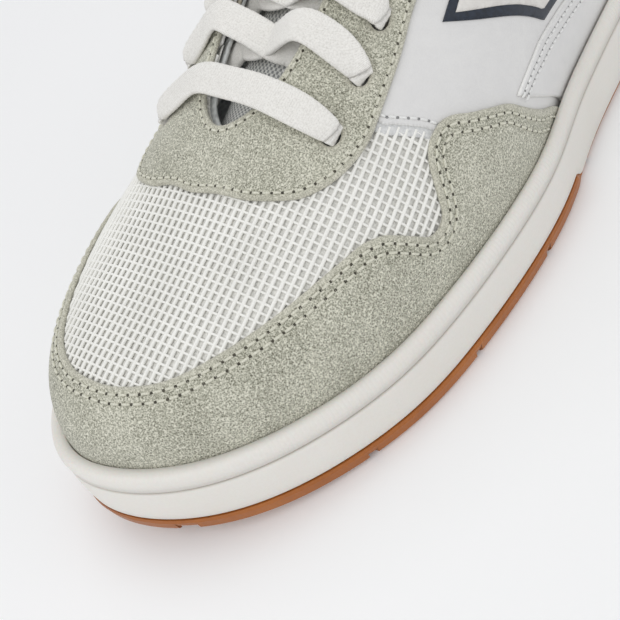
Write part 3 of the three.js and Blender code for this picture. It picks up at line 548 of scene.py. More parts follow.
def last(u, v):
    """A point of the last, at u round it and at v from the seat (0) to the topline (1)."""
    u, v = np.broadcast_arrays(np.asarray(u, float), np.clip(np.asarray(v, float), 0, 1))
    base, low, high, top, _ = profile(u)
    t = v[..., None]
    return (1 - t) ** 3 * base + 3 * (1 - t) ** 2 * t * low + 3 * (1 - t) * t * t * high + t ** 3 * top


def facing(u, v, step=0.02):
    """The outward direction at (u, v)."""
    u, v = np.asarray(u, float), np.asarray(v, float)
    return unit(np.cross(last(u, v + step) - last(u, v - step), last(u + step, v) - last(u - step, v)))


def shell(u, v, depth):
    """A point at a depth outside (+) or inside (-) the base layer's outer face."""
    return last(u, v) + facing(u, v) * np.broadcast_to(np.asarray(depth, float), np.shape(u))[..., None]


def at_height(u, z):
    """The v at which the last reaches a height."""
    trial = np.linspace(0, 0.5, 60)
    heights = last(u[:, None], trial[None])[..., 2]
    return np.array([np.interp(target, row, trial) for target, row in zip(z, heights)])


def loft(rings):
    """Faces of a closed skin over rings of equal length, closed at each end by rungs across."""
    rows, count = len(rings), len(rings[0])
    around = np.arange(count)
    beside = (around + 1) % count
    faces = []
    for row in range(rows - 1):
        low, high = row * count, (row + 1) * count
        faces += np.stack([low + beside, low + around, high + around, high + beside], -1).tolist()
    for start, flip in ((0, True), ((rows - 1) * count, False)):
        for k in range(count // 2):
            rung = [start + j for j in (k, k + 1, count - k - 1, (count - k) % count)]
            rung = list(dict.fromkeys(rung))
            faces.append(rung if flip else rung[::-1])
    return np.concatenate(rings), faces


def make_cupsole():
    u = np.linspace(0, AROUND, AROUND * 22, endpoint=False)
    arch = arch_share(u)
    under = OUTSOLE_HEIGHT + GAP
    rings, crease, beads = [], [], []

    # Each ring also stores how strongly painted shade darkens the rubber there.
    def add(out, z, grows=True, shade_amount=0.0, on_bead=0.0):
        x, y = outline(u, np.broadcast_to(out, u.shape)).T
        height = z * (1 + heel_share(y) * HEEL_RISE / WALL_HEIGHT) if grows else z
        rings.append(np.stack([x, y, height + spring(y)], -1))
        crease.append(np.full(len(u), shade_amount))
        beads.append(np.full(len(u), on_bead))

    skirt = under + (1.7 - under) * arch
    # The foot of the wall, with painted shade where it meets the gum.
    add(-3.4, under, False)
    add(-1.35 + 0.35 * arch, skirt, False, 0.5)
    add(-0.75, skirt + 0.12, False, 0.25)
    add(-0.5, skirt + 0.5, False)
    for t in (0.25, 0.5, 0.75):
        add(-0.46 + WALL_BULGE * math.sin(math.pi * t) - 0.3 * t,
            skirt + 0.5 + (WALL_TOP - skirt) * t * 0.97)
    # The groove under the bead, darkest at its bottom with painted shade.
    for out, z, shade_amount in ((-0.9, 16.5, 0), (-1.0, 16.85, 0.1), (-1.45, 17.12, 0.65), (-1.9, 17.3, 1.0),
                         (-1.5, 17.45, 0.8), (-1.1, 17.65, 0.2)):
        add(out, z, shade_amount=shade_amount)
    turn = np.radians(np.linspace(-38, 88, 13))
    for angle in turn:
        add(-BEAD_INSET + BEAD_WIDE * math.cos(angle), BEAD_HEIGHT + BEAD_TALL * math.sin(angle), on_bead=1.0)
    lip = rings[-1]
    # The lip that closes on the upper, darkened with painted shade against it.
    for drop, depth, shade_amount in ((0.25, OVERLAY + 0.75, 0.0), (1.0, OVERLAY + 0.42, 0.6),
                              (4.0, OVERLAY + 0.4, 0.6)):
        v = at_height(u, lip[:, 2] - drop)
        rings.append(shell(u, v, depth))
        crease.append(np.full(len(u), shade_amount))
        beads.append(np.zeros(len(u)))
    add(-4.8, 0.0)
    rings[-1][:, 2] = seat(rings[-1][:, 1]) - 0.6
    add(-4.8, under + 2.9, False)
    points, faces = loft(rings)
    edge = outline(u, np.zeros(len(u)))
    lengths = np.linalg.norm(np.diff(edge, axis=0, append=edge[:1]), axis=1)
    walked = np.concatenate([[0], np.cumsum(lengths)[:-1]])
    return points, faces, np.tile(walked, len(rings)), np.concatenate(crease), np.concatenate(beads)


points, faces, walked, crease, beads = make_cupsole()
cupsole = mesh_piece("cupsole_wall", points, faces, [rubber])
for name, values in (("along", walked), ("crease", crease), ("bead", beads)):
    point_value(cupsole, name, values)
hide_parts("cupsole")

# ------------------------------------------------------------------------------------------------
# Midsole foam and insole board: a die-cut foam wedge in the well of the cupsole, and the board that
# the upper is lasted to. Both are closed in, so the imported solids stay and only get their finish.
midsole_finish, wire, place, feed = new_finish("midsole_foam", Roughness=0.9)
cells = wire.cells(place, 1200.0)
feed(Base_Color=cells.ramp((0.0, tone(214, 208, 192)), (0.6, tone(240, 236, 226))),
     Normal=relief(wire, cells, 0.0002, 0.5))
board_finish = speckled("insole_board", 700.0, (190, 178, 150), (222, 212, 188), (0.0001, 0.5), 5.0, 1.5,
                        Roughness=0.88)
stiffener_finish = speckled("stiffener_sheet", 500.0, (196, 188, 170), (216, 210, 194), (0.0001, 0.4), 4.0,
                            Roughness=0.75)
for name, finish in (("midsole_foam", midsole_finish), ("insole_board", board_finish),
                     ("toe_puff", stiffener_finish), ("heel_counter", stiffener_finish),
                     ("eyelet_reinforcement_lateral", stiffener_finish),
                     ("eyelet_reinforcement_medial", stiffener_finish)):
    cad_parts[name].data.materials.clear()
    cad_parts[name].data.materials.append(finish)

# ------------------------------------------------------------------------------------------------
# Sockliner: a removable footbed of foam faced with knit, cut to lie inside the lasted upper, a
# little dished and rounded along its edge.
LINING_DEPTH, LINING = 2.3, 0.9
BOARD, SOCKLINER = 1.4, 4.0
knit, wire, place, feed = new_finish("footbed_knit", Roughness=0.92, Sheen_Weight=0.25, Sheen_Roughness=0.5)
loops = wire.cells(place, 950.0, {"voronoi_dimensions": "2D"},
                  Randomness=0.35)
cloud = wire.noise(place, 40.0, Detail=3.0)
feed(Base_Color=(loops * 0.7 + cloud * 0.3).ramp((0.1, tone(150, 153, 153)), (0.65, tone(192, 194, 193))),
     Normal=relief(wire, loops, 0.00025, 0.7))
SOCKLINER_INSET = UPPER_INSET + LINING_DEPTH + LINING + 3 * GAP


def make_sockliner():
    u = np.linspace(0, AROUND, AROUND * 12, endpoint=False)
    rings = []
    for more, rise in ((2.0, 0.0), (0.3, 0.3), (0.0, 1.0), (0.0, 3.0), (0.35, 3.65), (1.0, 3.93), (2.2, 4.0),
                       (5.0, 3.75), (9.0, 3.4), (14.0, 3.2)):
        x, y = outline(u, np.full(len(u), -SOCKLINER_INSET - more)).T
        rings.append(np.stack([x, y, seat(y) + BOARD + rise * SOCKLINER / 4], -1))
    return loft(rings)


sockliner = mesh_piece("sockliner_footbed", *make_sockliner(), [knit])
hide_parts("sockliner")

# ------------------------------------------------------------------------------------------------
# Linings: soft knit on the inside of the vamp and of each quarter. Round the collar it is drawn over
# a foam pad and stitched down below it, so the pad swells; the swelling is simulated as cloth held
# along its edges.
TOPLINE_PAD = 5.4
PAD_SEAM, PAD_FOOT, PAD_CROWN, PAD_FRONT = 0.46, 0.5, 0.85, 4.3
lining_knit, wire, place, feed = new_finish("lining_knit", Roughness=0.93, Sheen_Weight=0.3,
                                            Sheen_Roughness=0.45)
mesh_cells = wire.cells(place, 620.0, Randomness=0.4)
cloud = wire.noise(place, 30.0, Detail=3.0)
feed(Base_Color=(mesh_cells * 0.75 + cloud * 0.25).ramp((0.12, tone(170, 173, 172)),
                                                        (0.6, tone(222, 224, 222))),
     Normal=relief(wire, mesh_cells, 0.0003, 0.6))


def pad_share(u, v):
    """Share of the collar's padding at (u, v)."""
    u = np.asarray(u, float) % AROUND
    from_heel = np.minimum(u, AROUND - u)
    along = 1 - smooth((from_heel - PAD_FRONT) / 1.3)
    return along * (smooth((v - PAD_FOOT) / 0.3) - 0.5 * smooth((v - PAD_CROWN) / 0.2))


def swell(points, faces, held, pressure, cap, frames=18):
    """Points of a skin after cloth under pressure has swelled it, held at some points and capped."""
    mesh = bpy.data.meshes.new("swelling")
    mesh.from_pydata((points * MM).tolist(), [], [list(map(int, f)) for f in faces])
    skin = bpy.data.objects.new("swelling", mesh)
    bpy.context.scene.collection.objects.link(skin)
    skin.vertex_groups.new(name="held").add([int(k) for k in np.flatnonzero(held)], 1.0, "ADD")
    cloth = skin.modifiers.new("cloth", "CLOTH")
    cloth.settings.vertex_group_mass = "held"
    cloth.settings.use_pressure = True
    cloth.settings.uniform_pressure_force = pressure
    cloth.settings.effector_weights.gravity = 0
    cloth.settings.quality = 4
    cloth.settings.mass = 0.15
    cloth.settings.tension_stiffness = cloth.settings.compression_stiffness = 8
    cloth.settings.bending_stiffness = 0.3
    cloth.collision_settings.use_collision = False
    cloth.point_cache.frame_start, cloth.point_cache.frame_end = 1, frames
    for step in range(1, frames + 1):
        bpy.context.scene.frame_set(step)
    settled = skin.evaluated_get(bpy.context.evaluated_depsgraph_get()).to_mesh()
    moved = np.empty(len(points) * 3)
    settled.vertices.foreach_get("co", moved)
    bpy.context.scene.frame_set(1)
    bpy.data.objects.remove(skin)
    change = moved.reshape(-1, 3) / MM - points
    size = np.linalg.norm(change, axis=1, keepdims=True)
    return points + change * (cap * np.tanh(size / cap) / np.maximum(size, 1e-9))


def grid_faces(rows, columns, flip=False):
    k = np.arange(rows * columns).reshape(rows, columns)
    quads = np.stack([k[:-1, :-1], k[:-1, 1:], k[1:, 1:], k[1:, :-1]], -1).reshape(-1, 4)
    return quads[:, ::-1] if flip else quads


def slab_of(near, far):
    """Points and faces of a closed slab between two grids of points, far facing outwards."""
    rows, columns = far.shape[:2]
    count = rows * columns
    k = np.arange(count).reshape(rows, columns)
    rim = np.concatenate([k[0, :-1], k[:-1, -1], k[-1, :0:-1], k[:0:-1, 0]])
    after = np.roll(rim, -1)
    faces = [*grid_faces(rows, columns), *(grid_faces(rows, columns, True) + count),
             *np.stack([after, rim, rim + count, after + count], -1)]
    return np.concatenate([far.reshape(-1, 3), near.reshape(-1, 3)]), faces


def make_lining(u_from, u_to):
    u = np.linspace(u_from, u_to, max(2, int(abs(u_to - u_from) * 9)))
    v = np.concatenate([np.linspace(0.0, 0.44, 14), np.linspace(PAD_SEAM, 1, 30)])
    v_grid, u_grid = np.meshgrid(v, u, indexing="ij")
    pad = pad_share(u_grid, v_grid) * TOPLINE_PAD
    seam = 0.7 * np.exp(-((v_grid - PAD_SEAM) / 0.012) ** 2) * (pad_share(u_grid, 0.8) > 0.05)
    inner = shell(u_grid, v_grid, -LINING_DEPTH - LINING - pad + seam)
    outer = shell(u_grid, v_grid, -LINING_DEPTH - 0.05 - pad + seam)
    if pad.max() > 1:
        held = (v_grid <= PAD_SEAM + 0.01) | (v_grid >= 0.995) | (u_grid == u[0]) | (u_grid == u[-1])
        faces = grid_faces(*inner.shape[:2])
        inner = swell(inner.reshape(-1, 3), faces, held.ravel(), 6.0, 1.6).reshape(inner.shape)
    return slab_of(outer, inner)


for name, span, nodes in (("lining_lateral", (0.03, 8.75), ("quarter_lining_lateral", "collar_foam")),
                          ("lining_front", (8.75, 17.25), ("vamp_lining",)),
                          ("lining_medial", (17.25, 25.97), ("quarter_lining_medial",))):
    lining = mesh_piece(name, *make_lining(*span), [lining_knit])
    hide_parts(*nodes)
    "front" not in name

# ------------------------------------------------------------------------------------------------
# Vamp backing: a thin grey-white knit laminated behind the open mesh, seen through its holes. This
# section also lays out the flat pattern, from which each panel of the upper is cut and then lasted.
RUN_ON = 60.0
RULER = np.linspace(0, 1, 81)
SEAT_EDGE = 0.03


def flat(u, v):
    """Where (u, v) lies in the flat pattern: every profile is unrolled outwards from the topline."""
    u, v = np.atleast_1d(np.asarray(u, float)), np.atleast_1d(np.asarray(v, float))
    _, _, _, top, out = profile(u)
    places = last(u[:, None], RULER[None])
    steps = np.linalg.norm(np.diff(places, axis=1), axis=2)
    left = np.concatenate([np.cumsum(steps[:, ::-1], 1)[:, ::-1], np.zeros((len(u), 1))], 1)
    spot = np.clip(v, 0, 1) * (len(RULER) - 1)
    k = np.minimum(spot.astype(int), len(RULER) - 2)
    row = np.arange(len(u))
    unrolled = left[row, k] + (left[row, k + 1] - left[row, k]) * (spot - k) + (np.clip(v, 0, 1) - v) * RUN_ON
    return top[:, :2] + out[:, :2] * unrolled[:, None]


net_u, net_v = np.meshgrid(np.linspace(0, AROUND, AROUND * 14 + 1), np.linspace(0, 1, 45), indexing="ij")
net_flat = flat(net_u.ravel(), net_v.ravel())
net_quads = grid_faces(*net_u.shape)
net_cells = np.concatenate([net_quads[:, [0, 1, 2]], net_quads[:, [0, 2, 3]]])
net_tree = BVHTree.FromPolygons([(x, y, 0) for x, y in net_flat], net_cells.tolist())
net_uv = np.stack([net_u.ravel(), net_v.ravel()], -1)


def on_last(points):
    """The (u, v) of points of the flat pattern."""
    cells = np.array([net_tree.find_nearest((x, y, 0))[2] for x, y in points])
    a, b, c = (net_flat[net_cells[cells, k]] for k in range(3))
    points = np.asarray(points, float)
    area = np.cross(b - a, c - a)
    second = np.cross(points - a, c - a) / area
    third = np.cross(b - a, points - a) / area
    share = np.clip(np.stack([1 - second - third, second, third], -1), 0, 1)
    share /= share.sum(1, keepdims=True)
    return np.einsum("pk,pkc->pc", share, net_uv[net_cells[cells]])


def smooth_edge(*points):
    """A smooth edge through (u, v) points, as points of the flat pattern, kept to the upper."""
    marks = np.array(points, float)
    marks = np.concatenate([flat(*marks.T), marks], 1)
    walk = []
    for k in range(len(marks) - 1):
        p = marks[[max(k - 1, 0), k, k + 1, min(k + 2, len(marks) - 1)]]
        t = np.linspace(0, 1, max(3, int(np.linalg.norm(p[2, :2] - p[1, :2]) / 0.5)), endpoint=False)[:, None]
        walk.append(hermite(p, t))
    walk = np.concatenate([*walk, marks[-1:]])
    return walk[(walk[:, 3] > SEAT_EDGE) & (walk[:, 3] < 0.999), :2]


def straight_edge(*points):
    marks = flat(*np.array(points, float).T)
    return np.concatenate([a + (b - a) * np.linspace(0, 1, 40, endpoint=False)[:, None]
                           for a, b in zip(marks, marks[1:])])


def rail(v, u_from, u_to):
    """An edge along the seat or the topline."""
    u = np.linspace(u_from, u_to, max(3, int(abs(u_to - u_from) * 14)))
    return flat(u, np.full(len(u), v))


def thinned(line, pitch):
    """Every so many millimetres a point of a line."""
    walked = walked_along(line)
    count = max(2, int(walked[-1] / pitch))
    at = np.linspace(0, walked[-1], count)
    return np.stack([np.interp(at, walked, column) for column in line.T], -1)


def distance_to(points, line):
    """Distance from each point to a line of the flat pattern."""
    if len(points) == 0:
        return np.zeros(0)
    start, span = line[:-1], np.diff(line, axis=0)
    size = np.maximum((span ** 2).sum(1), 1e-12)
    found = []
    for part in np.array_split(points, max(1, len(points) // 1500)):
        reach = part[:, None] - start
        share = np.clip((reach * span).sum(2) / size, 0, 1)
        found.append(np.sqrt(((reach - share[..., None] * span) ** 2).sum(2)).min(1))
    return np.concatenate(found)


def beside(line, offset):
    """A line shifted to its left by an offset, without the loops that a tight bend would give."""
    along = np.gradient(line, axis=0)
    along /= np.maximum(np.linalg.norm(along, axis=1, keepdims=True), 1e-9)
    shifted = line + np.stack([-along[:, 1], along[:, 0]], -1) * offset
    return shifted[distance_to(shifted, line) >= abs(offset) * 0.985]


def ring(u, v, radius, count=22):
    """A punched hole's rim in the flat pattern."""
    centre = flat(u, v)[0]
    turn = full_turn(count)
    return centre + radius * np.stack([np.cos(turn), np.sin(turn)], -1)


def anticlockwise(line):
    after = np.roll(line, -1, 0)
    return line if (line[:, 0] * after[:, 1] - after[:, 0] * line[:, 1]).sum() > 0 else line[::-1]


def lasted_panel(name, border, near, far, finishes, rows=(), holes=(), pitch=1.9, rounding=0.7, sink=0.25):
    """A panel cut from the flat pattern and lasted between two depths, its rim rounded and its
    stitched rows drawn in. rows are lines of the flat pattern."""
    border = anticlockwise(thinned(closed_line(border), 0.9)[:-1])
    closed = closed_line(border)
    hole_lines = [closed_line(hole) for hole in holes]
    extra = [thinned(beside(closed, offset), RING_PITCH) for offset in RIM_RINGS]
    extra += [centre + (hole - centre) * (1 + more / EYELET_RADIUS) for hole in holes
              for centre in [hole.mean(0)] for more in HOLE_RINGS]
    for row in rows:
        extra += [thinned(beside(row, offset) if offset else row, RING_PITCH)
                  for offset in ROW_LINES if len(beside(row, offset)) > 3]
    low, high = border.min(0), border.max(0)
    x, y = np.meshgrid(np.arange(low[0], high[0], pitch), np.arange(low[1], high[1], pitch * 0.866))
    x = x + (np.arange(len(y)) % 2)[:, None] * pitch / 2
    fill = np.stack([x.ravel(), y.ravel()], -1)
    placed = []

    def keep(points, spacing, margin):
        points = points[inside(points, border)]
        points = points[distance_to(points, closed) > margin]
        for hole, line in zip(holes, hole_lines):
            points = points[~inside(points, hole)]
            points = points[distance_to(points, line) > margin]
        if placed:
            near_tree = tree_of(placed)
            points = [p for p in points if near_tree.find((*p, 0))[2] > spacing]
        placed.extend(points)

    for line in extra:
        keep(line, 0.3, 0.1)
    keep(fill, pitch * 0.62, 0.9)
    corners, links = [*border], [(k, (k + 1) % len(border)) for k in range(len(border))]
    for hole in holes:
        first = len(corners)
        corners += [*hole]
        links += [(first + k, first + (k + 1) % len(hole)) for k in range(len(hole))]
    corners += placed
    plan, _, triangles, *_ = delaunay_2d_cdt([Vector(p) for p in corners], links, [], 0, 1e-4)
    plan = np.array([tuple(p) for p in plan])
    triangles = np.array(triangles)
    middle = plan[triangles].mean(1)
    good = inside(middle, border)
    for hole in holes:
        good &= ~inside(middle, hole)
    triangles = triangles[good]
    used, triangles = np.unique(triangles, return_inverse=True)
    triangles = triangles.reshape(-1, 3)
    plan = plan[used]
    uv = on_last(plan)
    rim = distance_to(plan, closed)
    for line in hole_lines:
        rim = np.minimum(rim, distance_to(plan, line))
    radius = min(rounding, far - near)
    top = far - radius + np.sqrt(np.maximum(radius ** 2 - np.maximum(radius - rim, 0) ** 2, 0))
    drawn = np.zeros(len(plan))
    for row in rows:
        drawn = np.maximum(drawn, np.exp(-(distance_to(plan, row) / ROW_HALF_WIDTH) ** 2))
    top -= sink * drawn
    count = len(plan)
    points = np.concatenate([shell(*uv.T, top), shell(*uv.T, near)])
    sides = {}
    for a, b, c in triangles:
        for side in ((a, b), (b, c), (c, a)):
            sides[side] = True
    walls = [(b, a, a + count, b + count) for a, b in sides if (b, a) not in sides]
    faces = [*triangles, *(triangles[:, ::-1] + count), *walls]
    piece = mesh_piece(name, points, faces, finishes)
    point_value(piece, "rim", np.tile(rim, 2))
    return piece


def mirrored(edge):
    return [(AROUND - u, v) for u, v in edge[::-1]]


def backwards(edge):
    return [(-u, v) for u, v in edge[::-1]]


FRONT_SEAM = [(8.95, 1.08), (8.75, 0.86), (8.58, 0.71), (8.4, 0.64), (8.13, 0.53), (7.92, 0.35), (7.8, 0.1),
              (7.75, -0.15)]
EYELETS = [(9.12, 0.8), (8.43, 0.82), (7.9, 0.84), (7.43, 0.84), (6.97, 0.84), (6.5, 0.84), (6.03, 0.84)]
EYELET_RADIUS = 2.6
# Lines of points laid beside a panel's rim, beside its holes and beside its rows, in millimetres.
RIM_RINGS, HOLE_RINGS, ROW_LINES = (0.14, 0.36, 0.75), (0.14, 0.4, 0.9), (-0.9, -0.45, 0, 0.45, 0.9)
RING_PITCH, ROW_HALF_WIDTH = 1.1, 0.5
SIDES = {"lateral": lambda u: u, "medial": lambda u: AROUND - u}
punches = {name: [ring(side(u), v, EYELET_RADIUS) for u, v in EYELETS] for name, side in SIDES.items()}
all_punches = punches["lateral"] + punches["medial"]
lowest_punches = [punches["lateral"][0], punches["medial"][0]]
backing_knit, wire, place, feed = new_finish("backing_knit", Roughness=0.9, Sheen_Weight=0.15)
loops = wire.cells(place, 1500.0, Randomness=0.6)
cloud = wire.noise(place, 600.0, Detail=3.0)
feed(Base_Color=(loops * 0.6 + cloud * 0.4).ramp((0.15, tone(206, 205, 201)), (0.6, tone(244, 243, 238))),
     Normal=relief(wire, loops, 0.0002, 0.6))
vamp_border = np.concatenate([smooth_edge(*FRONT_SEAM), rail(SEAT_EDGE, 7.77, 18.23),
                              smooth_edge(*mirrored(FRONT_SEAM)), rail(0.995, 17.1, 8.9)])
vamp_backing = lasted_panel("vamp_backing_knit", vamp_border, -1.25, -1.0, [backing_knit], (),
                            lowest_punches, 2.4, 0.2)
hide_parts("vamp_backing")

# ------------------------------------------------------------------------------------------------
# Vamp mesh: one open net from the toe to the throat, of thick ribs that run along the shoe and thin
# bars across them. It is held under the toe overlay, the eyestay and the quarters' front edges, and
# is made as real threads wherever it can be seen.
WING = [(6.1, -0.15), (6.14, 0.06), (6.6, 0.17), (7.13, 0.32), (7.42, 0.39), (7.67, 0.45), (7.85, 0.5),
        (7.99, 0.525), (8.12, 0.53), (8.25, 0.52), (8.36, 0.48), (8.45, 0.39), (8.51, 0.33), (8.62, 0.31),
        (8.75, 0.32), (8.87, 0.36), (9.15, 0.45), (9.31, 0.48), (9.51, 0.5), (9.8, 0.505), (10.52, 0.49),
        (11.15, 0.47), (11.77, 0.45), (12.4, 0.455), (13, 0.465)]
EYESTAY = [(5.2, 1.12), (5.3, 0.9), (5.7, 0.8), (6.4, 0.78), (7, 0.77), (7.48, 0.77), (7.95, 0.74),
           (8.42, 0.715), (8.78, 0.695), (9.2, 0.7), (9.6, 0.72), (10, 0.755), (10.65, 0.83), (11.6, 0.89),
           (13, 0.905)]
toe_edge = smooth_edge(*WING, *mirrored(WING)[1:])
toe_border = np.concatenate([toe_edge, rail(SEAT_EDGE, 19.88, 6.12)])
eyestay_edge = smooth_edge(*EYESTAY, *mirrored(EYESTAY)[1:])
eyestay_border = np.concatenate([eyestay_edge, rail(0.998, 20.77, 5.23)])
NET_PITCH = 2.3
RIB_RADIUS, BAR_RADIUS = 0.53, 0.36
NET_DEPTH = -0.42
UNDER_OVERLAY = 3.5


def node_tree(name, **inputs):
    """A Geometry Nodes tree with a geometry input and the named inputs."""
    tree = bpy.data.node_groups.new(name, "GeometryNodeTree")
    tree.interface.new_socket("Geometry", in_out="INPUT", socket_type="NodeSocketGeometry")
    for label, kind in inputs.items():
        tree.interface.new_socket(label.replace("_", " "), in_out="INPUT", socket_type="NodeSocket" + kind)
    tree.interface.new_socket("Geometry", in_out="OUTPUT", socket_type="NodeSocketGeometry")
    entry = tree.nodes.new("NodeGroupInput")
    given = {socket.name: Wire(tree, socket) for socket in entry.outputs if socket.name}
    return tree, Wire(tree), given


def grow(piece, tree, **values):
    """Turns a piece into what a node tree makes of it."""
    modifier = piece.modifiers.new("grow", "NODES")
    modifier.node_group = tree
    for item in tree.interface.items_tree:
        if item.in_out == "INPUT" and item.name.replace(" ", "_") in values:
            modifier[item.identifier] = values[item.name.replace(" ", "_")]
    graph = bpy.context.evaluated_depsgraph_get()
    made = bpy.data.meshes.new_from_object(piece.evaluated_get(graph), depsgraph=graph)
    piece.modifiers.clear()
    piece.data = made
    made.name = piece.name
    for polygon in made.polygons:
        polygon.use_smooth = True


def path_piece(name, lines, **values):
    """A piece of bare lines, each an array of points in millimetres, for a node tree to grow on."""
    mesh = bpy.data.meshes.new(name)
    links, first = [], 0
    for line in lines:
        links += [(first + k, first + k + 1) for k in range(len(line) - 1)]
        first += len(line)
    mesh.from_pydata((np.concatenate(lines) * MM).tolist(), links, [])
    piece = bpy.data.objects.new(name, mesh)
    bpy.context.scene.collection.objects.link(piece)
    for label, value in values.items():
        point_value(piece, label, np.concatenate(value), "FLOAT_VECTOR" if np.ndim(value[0]) > 1 else "FLOAT")
    return piece


thread_tree, wire, given = node_tree("threads", Sides="Int", Material="Material")
course = wire.node("GeometryNodeMeshToCurve", Mesh=given["Geometry"])
thickness = wire.node("GeometryNodeInputNamedAttribute", {"data_type": "FLOAT"}, Name="thread")
section = wire.node("GeometryNodeCurvePrimitiveCircle", Resolution=given["Sides"], Radius=1.0)
tube = wire.node("GeometryNodeCurveToMesh", Curve=course, Profile_Curve=section, Scale=thickness,
                 Fill_Caps=True)
whole = wire.node("GeometryNodeRealizeInstances", Geometry=tube)
coloured = wire.node("GeometryNodeSetMaterial", Geometry=whole, Material=given["Material"])
wire.node("NodeGroupOutput", Geometry=coloured)

net_thread, wire, place, feed = new_finish("net_thread", Roughness=0.55, Sheen_Weight=0.2)
strands = wire.noise(place, 2600.0, Detail=2.0)
cloud = wire.noise(place, 60.0, Detail=2.0)
feed(Base_Color=(strands * 0.6 + cloud * 0.4).ramp((0.3, tone(234, 233, 227)), (0.65, tone(250, 249, 244))),
     Normal=relief(wire, strands, 0.00006, 0.6))


def net_lines():
    low, high = vamp_border.min(0), vamp_border.max(0)
    lines, radii = [], []
    for axis, radius, reach, swing in ((0, RIB_RADIUS, 0.55, 0.0), (1, BAR_RADIUS, 0.7, 0.12)):
        for k in range(int((high[axis] - low[axis]) / NET_PITCH)):
            run = np.arange(low[1 - axis], high[1 - axis], reach)
            still = np.full(len(run), low[axis] + (k + 0.5) * NET_PITCH)
            line = np.stack([still, run] if axis == 0 else [run, still], -1)
            seen = inside(line, vamp_border)
            for border in (toe_border, eyestay_border):
                deep_under = distance_to(line, closed_line(border)[::3]) > UNDER_OVERLAY
                seen &= ~(inside(line, border) & deep_under)
            edges = np.flatnonzero(np.diff(np.concatenate([[0], seen.astype(int), [0]])))
            for start, end in edges.reshape(-1, 2):
                if end - start > 4:
                    uv = on_last(line[start:end])
                    wave = swing * np.cos(np.pi * np.arange(start, end) * reach / NET_PITCH)
                    lines.append(shell(*uv.T, NET_DEPTH + wave))
                    radii.append(np.full(end - start, radius * MM))
    return lines, radii


lines, radii = net_lines()
vamp_mesh = path_piece("vamp_mesh_net", lines, thread=radii)
grow(vamp_mesh, thread_tree, Sides=6, Material=net_thread)
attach(vamp_mesh, "shoe")
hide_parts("vamp_mesh")

# ------------------------------------------------------------------------------------------------
# Quarters: smooth white leather on each side, from the heel seam to a folded front edge that laps the
# vamp mesh over a grey-white tape. The collar is padded behind the leather, and a row of stitches
# follows the front edge and the foot of the padding.
leather, wire, place, feed = new_finish("smooth_leather", Roughness=0.42, IOR=1.48, Specular_IOR_Level=0.4)
pores = wire.cells(place, 950.0, {"feature": "DISTANCE_TO_EDGE"})
creases = wire.noise(place, 260.0, Detail=4.0, Distortion=0.6)
cloud = wire.noise(place, 24.0, Detail=3.0)
rim = wire.stored("rim")
grain = pores.steps(0.0, 0.16) * 0.6 + creases * 0.4
cut_edge = 1 - rim.steps(0.0, 0.45)
skin_tone = (cloud * 0.6 + creases * 0.4).ramp((0.3, tone(221, 220, 219)), (0.7, tone(231, 230, 228)))
feed(Base_Color=cut_edge.blend(skin_tone, (*tone(244, 243, 240), 1)),
     Roughness=0.5 - grain * 0.12,
     Normal=relief(wire, grain, 0.00006, 0.5))
tape = speckled("edge_tape", 1400.0, (196, 197, 196), (222, 222, 221), (0.00012, 0.6), 3.0, Roughness=0.85)

white_thread = speckled("white_thread", 3000.0, (224, 224, 222), (245, 245, 243), (0.00005, 0.7),
                        Roughness=0.6, Sheen_Weight=0.2)
# Needle-hole tones, dark for suede and grey for leather: painted shade where the thread dips into the
# material.
needle_hole = speckled("needle_hole", 2000.0, (58, 56, 48), (96, 92, 80), Roughness=0.95)
pale_hole_shade = speckled("needle_hole_in_leather", 2000.0, (128, 128, 128), (160, 160, 160), Roughness=0.95)

STITCH_REFERENCE = 3.0
THREAD_RADIUS, THREAD_REACH, THREAD_CROWN = 0.36, 0.42 * STITCH_REFERENCE, 0.26


def closed_form(name, rings, tips):
    """A small closed form from rings of points with a point at each end, kept out of the scene."""
    count = len(rings[0])
    points = [tips[0], *np.concatenate(rings), tips[1]]
    faces = []
    for k in range(count):
        j = (k + 1) % count
        faces.append((0, 1 + j, 1 + k))
        for row in range(len(rings) - 1):
            a, b = 1 + row * count, 1 + (row + 1) * count
            faces.append((a + k, a + j, b + j, b + k))
        a = 1 + (len(rings) - 1) * count
        faces.append((a + k, a + j, len(points) - 1))
    mesh = bpy.data.meshes.new(name)
    mesh.from_pydata((np.array(points) * MM).tolist(), [], faces)
    return bpy.data.objects.new(name, mesh)


def thread_loop():
    turn = full_turn(6)
    rings = []
    for t in np.linspace(-0.82, 0.82, 6):
        radius = THREAD_RADIUS * (1 - 0.3 * t * t)
        centre = np.array([THREAD_REACH * t, 0, THREAD_CROWN * (1 - t * t) - 0.04])
        rings.append(centre + radius * np.stack([0 * turn, np.cos(turn), np.sin(turn)], -1))
    return closed_form("thread_loop", rings, [(-THREAD_REACH, 0, -0.14), (THREAD_REACH, 0, -0.14)])


# A small disc at each needle hole, which carries the hole's painted shade.
def hole_form():
    turn = full_turn(8)
    shift = STITCH_REFERENCE / 2
    circle = np.stack([shift + 0.46 * np.cos(turn), 0.38 * np.sin(turn), 0.05 + 0 * turn], -1)
    return closed_form("needle_hole_form", [circle], [(shift, 0, -0.3), (shift, 0, 0.06)])
